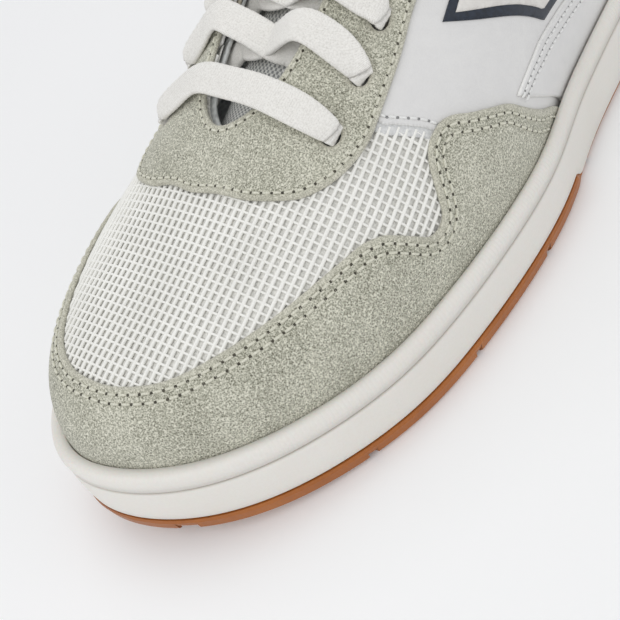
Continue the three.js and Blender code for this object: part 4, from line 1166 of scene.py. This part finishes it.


# Each stitch gets a thread loop and a disc of painted needle-hole shade.
stitch_tree, wire, given = node_tree("stitching", Pitch="Float", Stretch="Vector", Thread="Object",
                                     Hole="Object", Thread_material="Material", Hole_material="Material")
course = wire.node("GeometryNodeMeshToCurve", Mesh=given["Geometry"])
spots = wire.node("GeometryNodeResampleCurve", {"mode": "LENGTH"}, Curve=course, Length=given["Pitch"])
upwards = wire.node("GeometryNodeInputNamedAttribute", {"data_type": "FLOAT_VECTOR"}, Name="out")
forward = wire.node("GeometryNodeInputTangent")
aim = wire.node("FunctionNodeAxesToRotation", {"primary_axis": "Z", "secondary_axis": "X"},
                Primary_Axis=upwards, Secondary_Axis=forward)
parts = []
for form, finish in (("Thread", "Thread material"), ("Hole", "Hole material")):
    shape = wire.node("GeometryNodeObjectInfo", {}, 4, Object=given[form])
    copies = wire.node("GeometryNodeInstanceOnPoints", Points=spots, Instance=shape, Rotation=aim,
                       Scale=given["Stretch"])
    real = wire.node("GeometryNodeRealizeInstances", Geometry=copies)
    parts.append(wire.node("GeometryNodeSetMaterial", Geometry=real, Material=given[finish]))
joined = wire.node("GeometryNodeJoinGeometry")
for part in parts:
    stitch_tree.links.new(part.socket, joined.socket.node.inputs[0])
wire.node("NodeGroupOutput", Geometry=joined)
loop_form, pit_form = thread_loop(), hole_form()


def stitches(name, rows, depth, pitch, thread, hole, body="shoe"):
    """Lockstitches along lines of the flat pattern, at a depth of the upper, each with a disc of painted
    shade at its needle hole.
    """
    lines, outs = [], []
    for row in rows:
        uv = on_last(thinned(row, 0.8))
        lines.append(shell(*uv.T, depth))
        outs.append(facing(*uv.T))
    seam = path_piece(name, lines, out=outs)
    grow(seam, stitch_tree, Pitch=pitch * MM, Stretch=(pitch / STITCH_REFERENCE, 1.0, 1.0), Thread=loop_form,
         Hole=pit_form, Thread_material=thread, Hole_material=hole)
    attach(seam, body)


SINK, THREAD_LIFT, LEATHER_THREAD_LIFT = 0.25, 0.06, 0.08
COLLAR_SEAM = 0.8


for name, side in SIDES.items():
    seam = smooth_edge(*[(side(u - 0.02), v) for u, v in FRONT_SEAM])
    heel_seam = flat(np.full(60, side(0.04)), np.linspace(SEAT_EDGE, 0.99, 60))
    border = np.concatenate([seam, rail(SEAT_EDGE, side(7.73), side(0.06)), heel_seam,
                             rail(0.995, side(0.06), side(8.9))])
    towards_quarter = 1 if name == "lateral" else -1
    front_row = beside(seam, towards_quarter * 1.7)
    collar_row = smooth_edge(*[(side(u), COLLAR_SEAM) for u in np.arange(1.15, 5.3, 0.3)])
    quarter = lasted_panel(f"quarter_leather_{name}", border, -1.0, 0.0, [leather],
                           (front_row, collar_row), punches[name], 2.3, 0.5)
    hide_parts(f"quarter_{name}")
    stitches(f"quarter_stitches_{name}", (front_row, collar_row), -SINK + LEATHER_THREAD_LIFT, 2.6,
             white_thread, pale_hole_shade)
    under = beside(seam, -towards_quarter * 2.4)
    strip = np.concatenate([seam, under[::-1]])
    edge_tape = lasted_panel(f"quarter_tape_{name}", strip, -0.8, -0.02, [tape], (), (), 2.0, 0.3)

# ------------------------------------------------------------------------------------------------
# Side stripe: a plain slanted patch on each quarter, a navy underlay with an off-white face that
# leaves its rim showing.
navy = speckled("navy_leather", 900.0, (20, 28, 40), (34, 44, 60), (0.00005, 0.5), 3.0, Roughness=0.45)
off_white = speckled("stripe_leather", 500.0, (216, 212, 207), (228, 225, 220), (0.00006, 0.5), 4.0,
                     Roughness=0.45)
STRIPE = [(7.37, 0.67), (5.95, 0.335), (4.85, 0.37), (6.3, 0.71), (7.37, 0.67)]
STRIPE_FACE = [(7.2, 0.648), (5.93, 0.368), (5.08, 0.398), (6.37, 0.685), (7.2, 0.648)]
for name, side in SIDES.items():
    patch = straight_edge(*[(side(u), v) for u, v in STRIPE])
    face = straight_edge(*[(side(u), v) for u, v in STRIPE_FACE])
    stripe = lasted_panel(f"stripe_underlay_{name}", patch, 0.05, 0.6, [navy], (), (), 2.2, 0.3)
    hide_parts(f"side_stripe_{name}")
    fronts = lasted_panel(f"stripe_face_{name}", face, 0.62, 1.1, [off_white], (), (), 2.2, 0.3)
    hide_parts(f"side_stripe_face_{name}")

# ------------------------------------------------------------------------------------------------
# Foxing: a second layer of white leather low on each quarter, over the edge of the toe wing, with two
# rows of stitches along its upper edge.
FOXING_FAR = 0.95
FOXING_TOP = [(6.98, 0.31), (6.5, 0.31), (6, 0.31), (5, 0.31), (4, 0.3), (3.35, 0.29)]
FOXING_FRONT = [(6.02, -0.15), (6.04, 0.06), (6.5, 0.19), (6.98, 0.31)]
for name, side in SIDES.items():
    top_edge = smooth_edge(*[(side(u), v) for u, v in FOXING_TOP])
    rear_edge = smooth_edge(*[(side(u), v) for u, v in ((3.35, 0.29), (3.38, 0.14), (3.42, -0.15))])
    front_edge = smooth_edge(*[(side(u), v) for u, v in FOXING_FRONT])
    border = np.concatenate([top_edge, rear_edge, rail(SEAT_EDGE, side(3.42), side(6.02)), front_edge])
    outwards = -1 if name == "lateral" else 1
    rows = [beside(top_edge, outwards * gap)[2:-2] for gap in (1.5, 3.3)]
    foxing = lasted_panel(f"foxing_leather_{name}", border, 0.05, FOXING_FAR, [leather], rows, (), 2.3, 0.5)
    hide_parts(f"foxing_{name}")
    stitches(f"foxing_stitches_{name}", rows, FOXING_FAR - SINK + LEATHER_THREAD_LIFT, 2.6, white_thread,
             pale_hole_shade)

# ------------------------------------------------------------------------------------------------
# Toe overlay: one piece of sage-grey suede round the toe with a raised wing on each side, stitched to
# the mesh and the quarters by two rows along its upper edge.
suede, wire, place, feed = new_finish("sage_suede", Roughness=0.95, Sheen_Weight=0.25, Sheen_Roughness=0.5,
                                      Specular_IOR_Level=0.3)
nap = wire.noise(place, 2300.0, Detail=3.0, Roughness=0.7, Distortion=0.6)
pebble = wire.cells(place, 2700.0, {"feature": "SMOOTH_F1"})
brushed = wire.noise(place, 70.0, Detail=4.0, Distortion=0.5)
rim = wire.stored("rim")
pressed = 1 - rim.steps(0.6, 2.0)
speckle = nap * 0.62 + pebble * 0.38
napped = (speckle * 0.9 + brushed * 0.1).ramp((0.32, tone(104, 103, 86)), (0.46, tone(184, 183, 166)),
                                              (0.58, tone(236, 234, 218)))
feed(Base_Color=(pressed * 0.45).blend(napped, (*tone(200, 197, 182), 1)),
     Normal=relief(wire, speckle * (1 - pressed * 0.5), 0.0006, 0.9))
sage_thread = speckled("sage_thread", 3000.0, (198, 197, 180), (232, 230, 214), (0.00005, 0.7),
                       Roughness=0.6, Sheen_Weight=0.2)
OVERLAY_NEAR, OVERLAY_FAR = 0.12, 1.3
DOUBLE_ROW = (2.0, 4.1)
toe_rows = [beside(toe_edge, gap)[6:-6] for gap in DOUBLE_ROW]
toe_overlay = lasted_panel("toe_overlay_suede", toe_border, OVERLAY_NEAR, OVERLAY_FAR, [suede], toe_rows, (),
                           1.7, 0.6, SINK)
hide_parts("toe_overlay")
stitches("toe_overlay_stitches", toe_rows, OVERLAY_FAR - SINK + THREAD_LIFT, 3.1, sage_thread, needle_hole)

# ------------------------------------------------------------------------------------------------
# Eyestay: a U of the same suede round the throat, with seven punched holes on each side. One row of
# stitches follows its outer edge and one the throat.
outer_row = beside(eyestay_edge, -1.7)[3:-3]
throat_row = beside(rail(0.998, 5.5, 20.5), 1.6)
eyestay = lasted_panel("eyestay_suede", eyestay_border, OVERLAY_NEAR, OVERLAY_FAR, [suede],
                       (outer_row, throat_row), all_punches, 1.7, 0.6, SINK)
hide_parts("eyestay")
stitches("eyestay_stitches", (outer_row, throat_row), OVERLAY_FAR - SINK + THREAD_LIFT, 2.7, sage_thread,
         needle_hole)

# ------------------------------------------------------------------------------------------------
# Heel: a suede overlay round the counter with two rows of stitches, and a suede tab that covers the
# top of the back seam.
HEEL_OVERLAY = [(3.32, -0.15), (3.2, 0.16), (2.85, 0.38), (2.1, 0.5), (1.2, 0.55), (0, 0.57)]
HEEL_TAB = [(1.25, 1.12), (1.15, 0.8), (0.9, 0.66), (0, 0.62)]
heel_edge = smooth_edge(*HEEL_OVERLAY, *backwards(HEEL_OVERLAY)[1:])
heel_rows = [beside(heel_edge, -gap)[4:-4] for gap in DOUBLE_ROW]
heel_overlay = lasted_panel("heel_overlay_suede", np.concatenate([heel_edge, rail(SEAT_EDGE, -3.3, 3.3)]),
                            OVERLAY_NEAR, OVERLAY_FAR, [suede], heel_rows, (), 2.2, 0.6, SINK)
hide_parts("heel_overlay")
tab_edge = smooth_edge(*HEEL_TAB, *backwards(HEEL_TAB)[1:])
tab_row = beside(tab_edge, 1.7)[3:-3]
heel_tab = lasted_panel("heel_tab_suede", np.concatenate([tab_edge, rail(0.995, -1.24, 1.24)]),
                        OVERLAY_NEAR, OVERLAY_FAR, [suede], (tab_row,), (), 1.7, 0.6, SINK)
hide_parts("heel_tab")
stitches("heel_stitches", (*heel_rows, tab_row), OVERLAY_FAR - SINK + THREAD_LIFT, 3.1, sage_thread,
         needle_hole)

# ------------------------------------------------------------------------------------------------
# Collar binding: the padded topline is closed by a strip of soft leather rolled over it, from the
# outside of the quarter to the lining, round the heel from one end of the eyestay to the other.
BINDING_END = 5.3
BINDING_THICKNESS, BINDING_CROWN, BINDING_OVERLAP = 0.9, 2.7, 0.35
BINDING_LEG = (0.945, 0.965, 0.985)


def make_binding():
    u = np.linspace(-BINDING_END, BINDING_END, 230)
    top, out = last(u, np.ones(len(u))), facing(u, np.ones(len(u)))
    up = unit(top - last(u, np.full(len(u), 0.96)))
    inner = -LINING_DEPTH - LINING - pad_share(u, np.ones(len(u))) * TOPLINE_PAD - BINDING_OVERLAP
    loops = []
    turn = np.linspace(0, np.pi, 15)
    for shrink in (0.0, BINDING_THICKNESS):
        outer_side, inner_side = GAP - shrink, inner + shrink
        middle, half = (outer_side + inner_side) / 2, (outer_side - inner_side) / 2
        arc = [top + out * (middle + half * math.cos(t))[:, None]
               + up * (BINDING_CROWN - shrink) * math.sin(t) for t in turn]
        outer_leg = [shell(u, np.full(len(u), v), outer_side) for v in BINDING_LEG]
        inner_leg = [shell(u, np.full(len(u), v), -LINING_DEPTH - LINING - BINDING_OVERLAP + shrink
                           - pad_share(u, np.full(len(u), v)) * TOPLINE_PAD) for v in BINDING_LEG[::-1]]
        line = [*outer_leg, *arc, *inner_leg]
        loops.append(line if shrink == 0 else line[::-1])
    sections = np.stack([*loops[0], *loops[1]], 1)
    rows, count = sections.shape[:2]
    k = np.arange(count)
    faces = []
    for row in range(rows - 1):
        a, b = row * count, (row + 1) * count
        faces += np.stack([a + k, a + (k + 1) % count, b + (k + 1) % count, b + k], -1).tolist()
    half = count // 2
    for start, flip in ((0, False), ((rows - 1) * count, True)):
        for k in range(half - 1):
            quad = [start + k, start + count - 1 - k, start + count - 2 - k, start + k + 1]
            faces.append(quad[::-1] if flip else quad)
    return sections.reshape(-1, 3), faces


binding = mesh_piece("collar_binding", *make_binding(), [leather])
point_value(binding, "rim", np.full(len(binding.data.vertices), 5.0))
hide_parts("topline_binding")

# ------------------------------------------------------------------------------------------------
# Tongue: a padded tongue of white spacer mesh with a leather rim and a knit back, stitched in under
# the eyestay. Its free top folds forwards over the lace. The padding is swelled as cloth held at
# the stitched rim and under the lace.
TONGUE = np.array([(-73, 57.8, 12), (-61, 63, 15), (-46, 68.3, 20), (-26, 78.3, 24), (0, 89.5, 26),
                   (16, 95.3, 25), (27, 101, 21), (35, 110, 23), (40, 119, 27), (43, 128, 25)], float)
TONGUE[:, 0] *= LENGTH / PATTERN_LENGTH
TONGUE[:, 1] = SEAT + (TONGUE[:, 1] - SEAT) * (COLLAR_HEIGHT - SEAT) / (PATTERN_COLLAR - SEAT)
TONGUE[:, 2] *= WIDTH / PATTERN_WIDTH
TONGUE_ROUNDING, TONGUE_CENTRE, TONGUE_THICKNESS = 25.0, -1.0, 5.4
TONGUE_SEAM, TONGUE_TOP_SEAM, TONGUE_SEAM_DEPTH = 0.84, 0.955, 0.55
HINGE = 0.6


def tongue_line(a):
    """Centre line of the tongue's outer side (y, z), its half width, and the slopes."""
    marks = np.concatenate([[2 * TONGUE[0] - TONGUE[1]], TONGUE, [2 * TONGUE[-1] - TONGUE[-2]]])
    spot = np.clip(a, 0, 1) * (len(TONGUE) - 1)
    k = np.minimum(spot.astype(int), len(TONGUE) - 2)
    t = (spot - k)[..., None]
    p = [marks[k + j] for j in range(4)]
    m, n = (p[2] - p[0]) / 2, (p[3] - p[1]) / 2
    slope = (6 * t ** 2 - 6 * t) * p[1] + (3 * t ** 2 - 4 * t + 1) * m
    slope += (6 * t - 6 * t ** 2) * p[2] + (3 * t ** 2 - 2 * t) * n
    return hermite(p, t), slope


def on_tongue(a, across, depth):
    """A point of the tongue: a along it, across from -1 to 1, at a depth of its outer face."""
    a, across, depth = np.broadcast_arrays(*(np.asarray(value, float) for value in (a, across, depth)))
    at, slope = tongue_line(a)
    along = unit(slope[..., :2])
    turn = across * at[..., 2] / TONGUE_ROUNDING
    radius = TONGUE_ROUNDING + depth
    drop = TONGUE_ROUNDING - radius * np.cos(turn)
    return np.stack([TONGUE_CENTRE + radius * np.sin(turn), at[..., 0] + along[..., 1] * drop,
                     at[..., 1] - along[..., 0] * drop], -1)


spacer, wire, place, feed = new_finish("spacer_mesh", Roughness=0.85, Sheen_Weight=0.3, Sheen_Roughness=0.5)
across = wire.stored("across")
along = wire.stored("along")
CELL = 2 * math.pi / 1.5
holes = (across * CELL).wave() * (along * (CELL * 0.8)).wave("COSINE")
holes = (holes * 0.5 + 0.5).steps(0.25, 0.7)
cloud = wire.noise(place, 1800.0, Detail=2.0)
knit_colour = (holes * 0.75 + cloud * 0.25).ramp((0.15, tone(148, 150, 149)), (0.6, tone(232, 232, 228)))
feed(Base_Color=knit_colour, Normal=relief(wire, holes * 0.8 + cloud * 0.2, 0.0004, 0.8))

TONGUE_ROWS, TONGUE_LOOP = 150, 48
a = np.linspace(0, 1, TONGUE_ROWS)
turn = full_turn(TONGUE_LOOP)
wide, deep = squared(np.cos(turn), 0.62), squared(np.sin(turn), 0.55)
end = np.sqrt(np.clip(1 - (np.clip((a - 0.972) / 0.028, 0, 1)) ** 2, 0.02, 1))
end *= np.sqrt(np.clip(1 - (np.clip((0.012 - a) / 0.012, 0, 1)) ** 2, 0.1, 1))
stretch = 1 - 0.06 * np.clip((a - 0.93) / 0.07, 0, 1) ** 3
a_grid = np.repeat(a[:, None], TONGUE_LOOP, 1)
wide_grid = wide[None] * stretch[:, None]
seam = TONGUE_SEAM_DEPTH * np.exp(-((np.abs(wide_grid) - TONGUE_SEAM) / 0.025) ** 2) * (deep[None] > 0)
top_seam = TONGUE_SEAM_DEPTH * np.exp(-((a_grid - TONGUE_TOP_SEAM) / 0.006) ** 2)
seam = np.maximum(seam, top_seam * (np.abs(wide_grid) < TONGUE_SEAM) * (deep[None] > 0))
depth_grid = -TONGUE_THICKNESS / 2 + TONGUE_THICKNESS / 2 * deep[None] * end[:, None] - seam
tongue_points = on_tongue(a_grid, wide_grid, depth_grid).reshape(-1, 3)
_, tongue_faces = loft(tongue_points.reshape(TONGUE_ROWS, TONGUE_LOOP, 3)[:, ::-1])
tongue_points = tongue_points.reshape(TONGUE_ROWS, TONGUE_LOOP, 3)[:, ::-1].reshape(-1, 3)
wide_flat, deep_flat, a_flat = (grid[:, ::-1].ravel() for grid in
                                (wide_grid, np.broadcast_to(deep, a_grid.shape), a_grid))
held = (a_flat < 0.56) & (deep_flat > -0.2) | (np.abs(wide_flat) > 0.8) | (a_flat > 0.945)
held |= (np.abs(a_flat - 0.865) < 0.085) & (np.abs(wide_flat) < 0.66) & (deep_flat > 0)
tongue_points = swell(tongue_points, tongue_faces, held, 5.0, 1.5)
tongue = mesh_piece("tongue_padded", tongue_points, tongue_faces, [spacer, leather, lining_knit], body=None)
half_widths = tongue_line(a)[0][:, 2]
point_value(tongue, "across", wide_flat * np.repeat(half_widths, TONGUE_LOOP))
point_value(tongue, "along", a_flat * 200.0)
point_value(tongue, "rim", np.full(len(a_flat), 5.0))
for polygon in tongue.data.polygons:
    k = list(polygon.vertices)
    if np.abs(wide_flat[k]).mean() > TONGUE_SEAM or a_flat[k].mean() > TONGUE_TOP_SEAM:
        polygon.material_index = 1
    elif deep_flat[k].mean() < 0:
        polygon.material_index = 2
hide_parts("tongue_face", "tongue_foam", "tongue_lining", "tongue_top_face", "tongue_top_foam",
            "tongue_top_lining")
hinge_low, hinge_high = (on_tongue(HINGE + step, 0.0, -TONGUE_THICKNESS / 2) * MM for step in (-0.03, 0.09))
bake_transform(tongue)

# ------------------------------------------------------------------------------------------------
# Tongue patch: a plain suede tab stitched to the tongue's free top.
PATCH_FROM, PATCH_TO, PATCH_BREADTH = 0.8, 0.93, 0.62


def make_patch():
    edge = np.array([0, 0.012, 0.035, 0.08, *np.linspace(0.14, 0.86, 22), 0.92, 0.965, 0.988, 1])
    row, column = np.meshgrid(edge, edge, indexing="ij")
    across = (column * 2 - 1) * PATCH_BREADTH
    along = PATCH_FROM + (PATCH_TO - PATCH_FROM) * row + 0.02 * across ** 2
    rim = np.minimum(np.minimum(row, 1 - row) * 24, np.minimum(column, 1 - column) * 30)
    rounded = np.sqrt(np.clip(1 - (1 - np.clip(rim / 0.5, 0, 1)) ** 2, 0, 1))
    sewn = 0.2 * np.exp(-((rim - 1.7) / 0.45) ** 2)
    far = on_tongue(along, across, 0.2 + 0.75 * rounded - sewn)
    near = on_tongue(along, across, np.full(row.shape, -0.6))
    return slab_of(near, far), rim


(points, faces), rim = make_patch()
patch = mesh_piece("tongue_patch_suede", points, faces, [suede], body="tongue_top")
point_value(patch, "rim", np.tile(rim.ravel(), 2))
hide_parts("tongue_patch")

# ------------------------------------------------------------------------------------------------
# Lace: one flat woven lace, straight across the lowest pair of eyelets and criss-crossed above. It
# enters every eyelet from outside, and its ends are tucked in beside the tongue. Each route point
# lies on the upper, so the shoe holds the lace all the way.
LACE_WIDTH, LACE_THICKNESS = 8.6, 1.6
LIFT = GAP + 0.75
OVER_EYESTAY = GAP + OVERLAY + LIFT
UNDER_LINING = -LINING_DEPTH - LINING - LIFT
NARROW, LEAN, BAR_LEAN, ARCH, CROSSING = 0.42, 0.16, 0.6, 1.2, 1.3
LACE_TAIL = [(0.05, 0.76, UNDER_LINING - 2.5), (0.1, 0.68, UNDER_LINING - 3)]


def spot(u, v, depth):
    return shell(np.array([u], float), np.array([v], float), depth)[0]


def eyelet(side, k, depth):
    return spot(side(EYELETS[k][0]), EYELETS[k][1], depth)


def bridge(start, end, share, rise):
    return start + (end - start) * share + np.array([0, 0, rise])


def strand(start, end, k, over):
    """The stretch from inside one eyelet to the outside of the next one opposite, with its widths."""
    under = spot(start(EYELETS[k][0] - LEAN), 1, UNDER_LINING - 1.3)
    above_edge = spot(end(EYELETS[k + 1][0] + LEAN), 1, OVER_EYESTAY + ARCH)
    crossing = CROSSING if over else -CROSSING
    return [(eyelet(start, k, -LINING_DEPTH / 2), NARROW), (eyelet(start, k, UNDER_LINING - 1.7), 0.45),
            (under, 0.75), (bridge(under, above_edge, 0.28, 0.6 + crossing / 2), 1),
            (bridge(under, above_edge, 0.52, 0.9 + crossing), 1), (bridge(under, above_edge, 0.8, 1.3), 1),
            (above_edge, 1), (spot(end(EYELETS[k + 1][0] + 0.02), 0.9, OVER_EYESTAY + ARCH - 0.2), 1),
            (eyelet(end, k + 1, OVER_EYESTAY + ARCH - 0.3), 0.72)]


def lace_half(start, end):
    route = []
    for k in range(len(EYELETS) - 1):
        route += strand(start, end, k, start is SIDES["lateral"])
        start, end = end, start
    top = len(EYELETS) - 1
    route += [(eyelet(start, top, -LINING_DEPTH / 2), NARROW), (eyelet(start, top, UNDER_LINING - 1.7), 0.45)]
    return route + [(spot(start(EYELETS[top][0] + du), v, depth), 0.7) for du, v, depth in LACE_TAIL]


def lace_route():
    bars = [[(eyelet(side, 0, OVER_EYESTAY + ARCH - 0.1), 0.72),
             (spot(side(EYELETS[0][0] + BAR_LEAN / 3), 0.9, OVER_EYESTAY + ARCH), 1),
             (spot(side(EYELETS[0][0] + BAR_LEAN), 1, OVER_EYESTAY + ARCH + 0.3), 1)]
            for side in SIDES.values()]
    middle = (bridge(bars[0][2][0], bars[1][2][0], 0.5, 0.5), 1)
    lateral, medial = SIDES["lateral"], SIDES["medial"]
    return [*lace_half(lateral, medial)[::-1], *bars[0], middle, *bars[1][::-1], *lace_half(medial, lateral)]


def make_lace():
    route = lace_route()
    marks = np.array([place for place, _ in route])
    widths = np.array([width for _, width in route])
    upright = np.array([0, -0.4, 1.0])
    side, sides = np.array([0, 1.0, 0]), []
    for k in range(len(marks)):
        course = unit(marks[min(k + 1, len(marks) - 1)] - marks[max(k - 1, 0)])
        guess = np.cross(course, upright)
        if np.linalg.norm(guess) > 0.5:
            side = -guess if guess @ side < 0 else guess
        sides.append(unit(side - course * (side @ course)))
    knots = np.concatenate([marks, widths[:, None], np.array(sides)], 1)
    walk = []
    for k in range(len(knots) - 1):
        p = knots[[max(k - 1, 0), k, k + 1, min(k + 2, len(knots) - 1)]]
        t = np.linspace(0, 1, 24, endpoint=False)[:, None]
        walk.append(hermite(p, t))
    walk = np.concatenate([*walk, knots[-1:]])
    walked = walked_along(walk[:, :3])
    at = np.arange(0, walked[-1], LACE_STEP)
    walk = np.stack([np.interp(at, walked, column) for column in walk.T], -1)
    kernel = np.hanning(9)
    kernel /= kernel.sum()
    padded = np.concatenate([walk[:1].repeat(4, 0), walk, walk[-1:].repeat(4, 0)])
    walk = np.stack([np.convolve(column, kernel, "valid") for column in padded.T], -1)
    kernel = np.hanning(LACE_BEND)
    padded = np.concatenate([walk[:1].repeat(LACE_BEND // 2, 0), walk, walk[-1:].repeat(LACE_BEND // 2, 0)])
    eased = np.stack([np.convolve(column, kernel / kernel.sum(), "valid") for column in padded.T], -1)
    walk[:, :3] += (eased - walk)[:, :3] * smooth((walk[:, 3:4] - 0.85) / 0.15)
    course = unit(np.gradient(walk[:, :3], axis=0))
    level = unit(walk[:, 4:] - course * (walk[:, 4:] * course).sum(1, keepdims=True))
    thin = np.cross(course, level)
    thin *= np.where(thin[:, 2:] < 0, -1, 1)
    width = walk[:, 3:4]
    turn = full_turn(LACE_SIDES)
    wide, high = squared(np.cos(turn), 0.8), squared(np.sin(turn), 0.7)
    half = LACE_WIDTH / 2 * width
    tall = LACE_THICKNESS / 2 * np.minimum(1 / width, MOST_GATHERED) ** 0.8
    across, s = wide * LACE_WIDTH / 2, np.arange(len(walk))[:, None] * LACE_STEP
    column = np.floor(across / WEAVE_COLUMN)
    local = across / WEAVE_COLUMN - column - 0.5
    slant = np.where(column % 2 == 0, 1, -1) * local * WEAVE_SLANT
    rise = np.abs(np.sin(np.pi * (s / WEAVE_PITCH + slant + 0.5 * (column % 2)))) ** 0.8
    rise *= 1 - (2 * local) ** 4
    curl = -EDGE_CURL * np.clip(0.95 - width, 0, 1) * wide ** 2
    lift = high * (tall + WEAVE_RELIEF * rise) + curl
    edge = half + WEAVE_EDGE * rise * (np.abs(wide) > 0.9)
    rings = walk[:, None, :3] + level[:, None] * (wide * edge)[..., None] + thin[:, None] * lift[..., None]
    return rings, np.tile(across, len(walk)), np.repeat(s[:, 0], LACE_SIDES)


LACE_STEP, LACE_SIDES, LACE_BEND = 0.42, 26, 29
WEAVE_COLUMN, WEAVE_PITCH, WEAVE_RELIEF, WEAVE_SLANT, WEAVE_EDGE = 1.45, 1.9, 0.34, 0.55, 0.12
YARN_WIDTH, PICK_LENGTH = 0.42, 0.5
MOST_GATHERED, EDGE_CURL = 1.55, 1.5
cotton, wire, place, feed = new_finish("lace_weave", Roughness=0.8, Sheen_Weight=0.35, Sheen_Roughness=0.45)
across = wire.stored("across")
along = wire.stored("along")
yarn = (across * (2 * math.pi / YARN_WIDTH)).wave()
pick = (along * (2 * math.pi / PICK_LENGTH) + across * 1.2).wave()
fuzz = wire.noise(place, 2200.0, Detail=3.0)
weave = yarn * pick * 0.25 + fuzz * 0.75
feed(Base_Color=weave.ramp((0.1, tone(214, 211, 204)), (0.5, tone(248, 246, 241))),
     Normal=relief(wire, weave, 0.00018, 0.65))
rings, across_values, along_values = make_lace()
points, faces = loft(list(rings))
volume_sign = np.einsum("ij,ij->", np.cross(points[[f[0] for f in faces]], points[[f[1] for f in faces]]),
                        points[[f[2] for f in faces]])
if volume_sign < 0:
    faces = [f[::-1] for f in faces]
lace = mesh_piece("lace_woven", points, faces, [cotton])
point_value(lace, "across", across_values)
point_value(lace, "along", along_values)
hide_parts("lace")

# ------------------------------------------------------------------------------------------------
# Aglets: white plastic sheaths crimped on the lace's two ends, tucked in beside the tongue.
AGLET_RADIUS, AGLET_LENGTH = 1.6, 18.0
sheath = speckled("aglet_sheath", 300.0, (232, 232, 230), (246, 246, 244), Roughness=0.25, Coat_Weight=0.3,
                  IOR=1.49)
for name, side in SIDES.items():
    u = EYELETS[-1][0]
    du, v, depth = LACE_TAIL[-1]
    tail = spot(side(u + du), v, depth)
    course = unit(spot(side(u + 0.15), v - 0.25, depth - 1) - tail)
    first = unit(np.cross(course, (0, 0, 1.0)))
    second = np.cross(course, first)
    turn = full_turn(20)
    rings = []
    for share, size in ((0, 0.55), (0.01, 0.9), (0.04, 1), (0.1, 1), (0.12, 0.9), (0.14, 1), (0.9, 0.97),
                        (0.96, 0.85), (1, 0.5)):
        middle = tail + course * (2 * GAP + share * AGLET_LENGTH)
        circle = first * np.cos(turn)[:, None] + second * np.sin(turn)[:, None]
        rings.append(middle + AGLET_RADIUS * size * circle)
    points, faces = loft(rings)
    aglet = mesh_piece(f"aglet_sheath_{name}", points, [f[::-1] for f in faces], [sheath])
    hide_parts(f"aglet_{name}")
